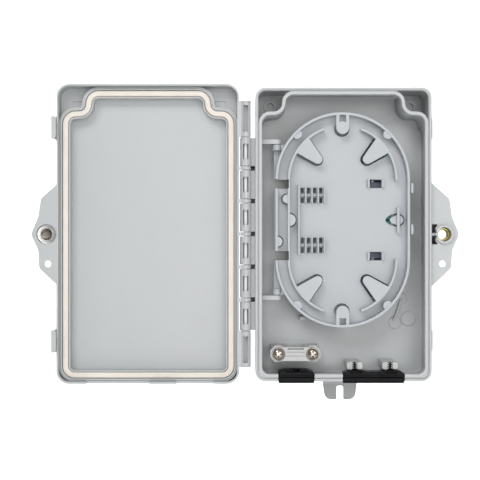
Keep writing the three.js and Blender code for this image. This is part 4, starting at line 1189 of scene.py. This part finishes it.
def make_drop_clamp(name, x):
    back, front, z = -24.8, -33.5, DROP_CLAMP_Z
    half, high = 5.5, 2.6
    solid = [slab(x, half - 0.4, back, back - 1.6, z, high - 0.2, 0.4, 0.2)]
    for side in (-1, 1):
        middle = x + side * (half + 1.6) / 2
        solid.append(prism(centred(middle, z, half - 1.6, 2 * high, 1.2), back, front, 0.3, 0.7, 4))
        for dz in (-1.5, 0, 1.5):
            tooth = span(x, side, 0.75, 2.4)
            solid.append(block(*tooth, back, front + 0.8, z + dz - 0.42, z + dz + 0.42, 0.2, 0.3))
    step = hole(x - 3.6, x - 1.7, front + 0.9, front, z - 3.4, z + 3.4, 0.2, 0.2, 0.3)
    finish(carve("drop_clamp_looks_" + name, solid, [step]), "base", CLAMP_PLASTIC, "drop_clamp_" + name)


def make_drop_pad(name, x):
    low, high = box_mm("drop_pad_" + name)
    pad = block(x - 0.95, x + 0.95, high.y, low.y - 0.6, low.z, high.z, 0.2, 0.2)
    teeth = [slab(x, 1.9, high.y, low.y - 0.9, low.z + dz, 0.3, 0.1, 0.2) for dz in (1.45, 2.95)]
    finish(carve("drop_pad_looks_" + name, [pad] + teeth), "base", RUBBER, "drop_pad_" + name)


def make_cup_liner():
    """The thin turned lining of the cup round the lock bolt's tip."""
    floor, rim = -33, -35.7
    section = [(3.5, floor - 0.02), (3.5, floor - 0.2), (5.9, floor - 0.2), (6.35, floor - 0.35),
               (6.56, floor - 0.7), (6.56, rim), (6.68, rim), (6.68, floor - 0.02)]
    finish_ring("cup_liner_looks", CUP_X, 0, section, 56, "cover", CUP_STEEL)


def make_adapter_clip(i):
    """The sprung steel clip across an adapter's middle; its colour is steel's own tone darkened by painted
    shade, for the dark under the tray.
    """
    z = adapter_z(i)
    front = ADAPTER.front
    clip = [block(PANEL_X - 12, PANEL_X + 8, front - 0.03, front - 0.5, z - 6.2, z + 6.2, 0.5, 0.1)]
    for x in (PANEL_X - 4.8, PANEL_X + 4.2):
        clip.append(slab(x, 1.2, front - 0.2, front - 1.1, z, 2))
    finish(carve("adapter_clip_looks_%d" % (i + 1), clip), "base", SPRING_STEEL_PAINTED_SHADE)


# ---- assembly

make_base_shell()
make_cover_shell()
make_gasket()
make_hinge_pin()
make_lock_insert()
make_lock_bolt()
make_retainer()
make_splice_tray()
make_adapter_panel()
for number in range(8):
    make_adapter(number)
    make_adapter_clip(number)
    make_dust_cap(number, -1, "left")
    make_dust_cap(number, 1, "right")
for label, place in zip(("left", "right"), CLAMP_X):
    make_screw("clamp_screw_" + label, place, CLAMP_Z, "cable_clamp", *CLAMP_SCREW)
    make_clamp_rings(label, place)
for label, place in zip(("top", "bottom"), PANEL_SCREWS):
    make_screw("panel_screw_" + label, PANEL_X, place, "base", *PANEL_SCREW, 36)
make_feeder_gland()
make_drop_gland()
make_clamp_saddle()
for label, place in zip(("left", "right"), DROP_CLAMP_X):
    make_drop_clamp(label, place)
    make_drop_pad(label, place)
make_cup_liner()


# ---- stage, light and camera

def pale_floor():
    material, tree, shader = node_tree("pale_floor")
    white = mixed(tree, noise_range(tree, 2, 2), (0.93, 0.93, 0.93), (0.915, 0.917, 0.92))
    tree.links.new(white, shader.inputs["Base Color"])
    give(shader, {"Roughness": 0.22})
    return material


def make_floor(z=-0.34, reach=3):
    """A wide floor that curves up into the backdrop behind the box."""
    bend, back = 0.8, 1.6
    path = [(-2.5, z), (back - bend, z)]
    path += [(back - bend + bend * sin(a), z + bend - bend * cos(a)) for a in angles(pi / 2, 16)[1:]]
    path.append((back, 3))
    mesh = bmesh.new()
    rows = [[mesh.verts.new((x, y, h)) for x in (-reach, reach)] for y, h in path]
    for low, high in zip(rows, rows[1:]):
        mesh.faces.new((low[0], low[1], high[1], high[0]))
    floor = to_object(mesh, "studio_floor")
    floor.data.shade_smooth()
    floor.data.materials.append(pale_floor())


def make_light(name, place, target, size, watts):
    data = bpy.data.lights.new(name, "AREA")
    data.shape = "RECTANGLE"
    data.size, data.size_y = size
    data.energy = watts
    light = put(name, data)
    light.location = place
    light.rotation_euler = (Vector(target) - Vector(place)).to_track_quat("-Z", "Y").to_euler()


def make_world():
    world = bpy.data.worlds.new("studio")
    world.use_nodes = True
    background = world.node_tree.nodes["Background"]
    background.inputs["Color"].default_value = (1, 1, 1, 1)
    background.inputs["Strength"].default_value = 0.4
    bpy.context.scene.world = world


def make_camera():
    data = bpy.data.cameras.new("main")
    data.lens = 96.2
    data.sensor_width = 36
    camera = put("main", data)
    camera.location = (-0.071, -0.915, -0.0039)
    camera.rotation_euler = (radians(90), 0, 0)
    bpy.context.scene.camera = camera


make_floor()
make_world()
make_light("key", (-0.5, -1.5, 1), (-0.07, 0, 0), (0.9, 0.6), 14)
make_light("front", (0.35, -1.9, 0.1), (-0.07, 0, 0), (1.4, 1), 14)
make_light("backdrop", (-0.07, 0.55, 1.2), (-0.07, 1.6, 0.1), (2.2, 0.4), 40)
make_camera()
bpy.context.scene.view_settings.view_transform = "Standard"
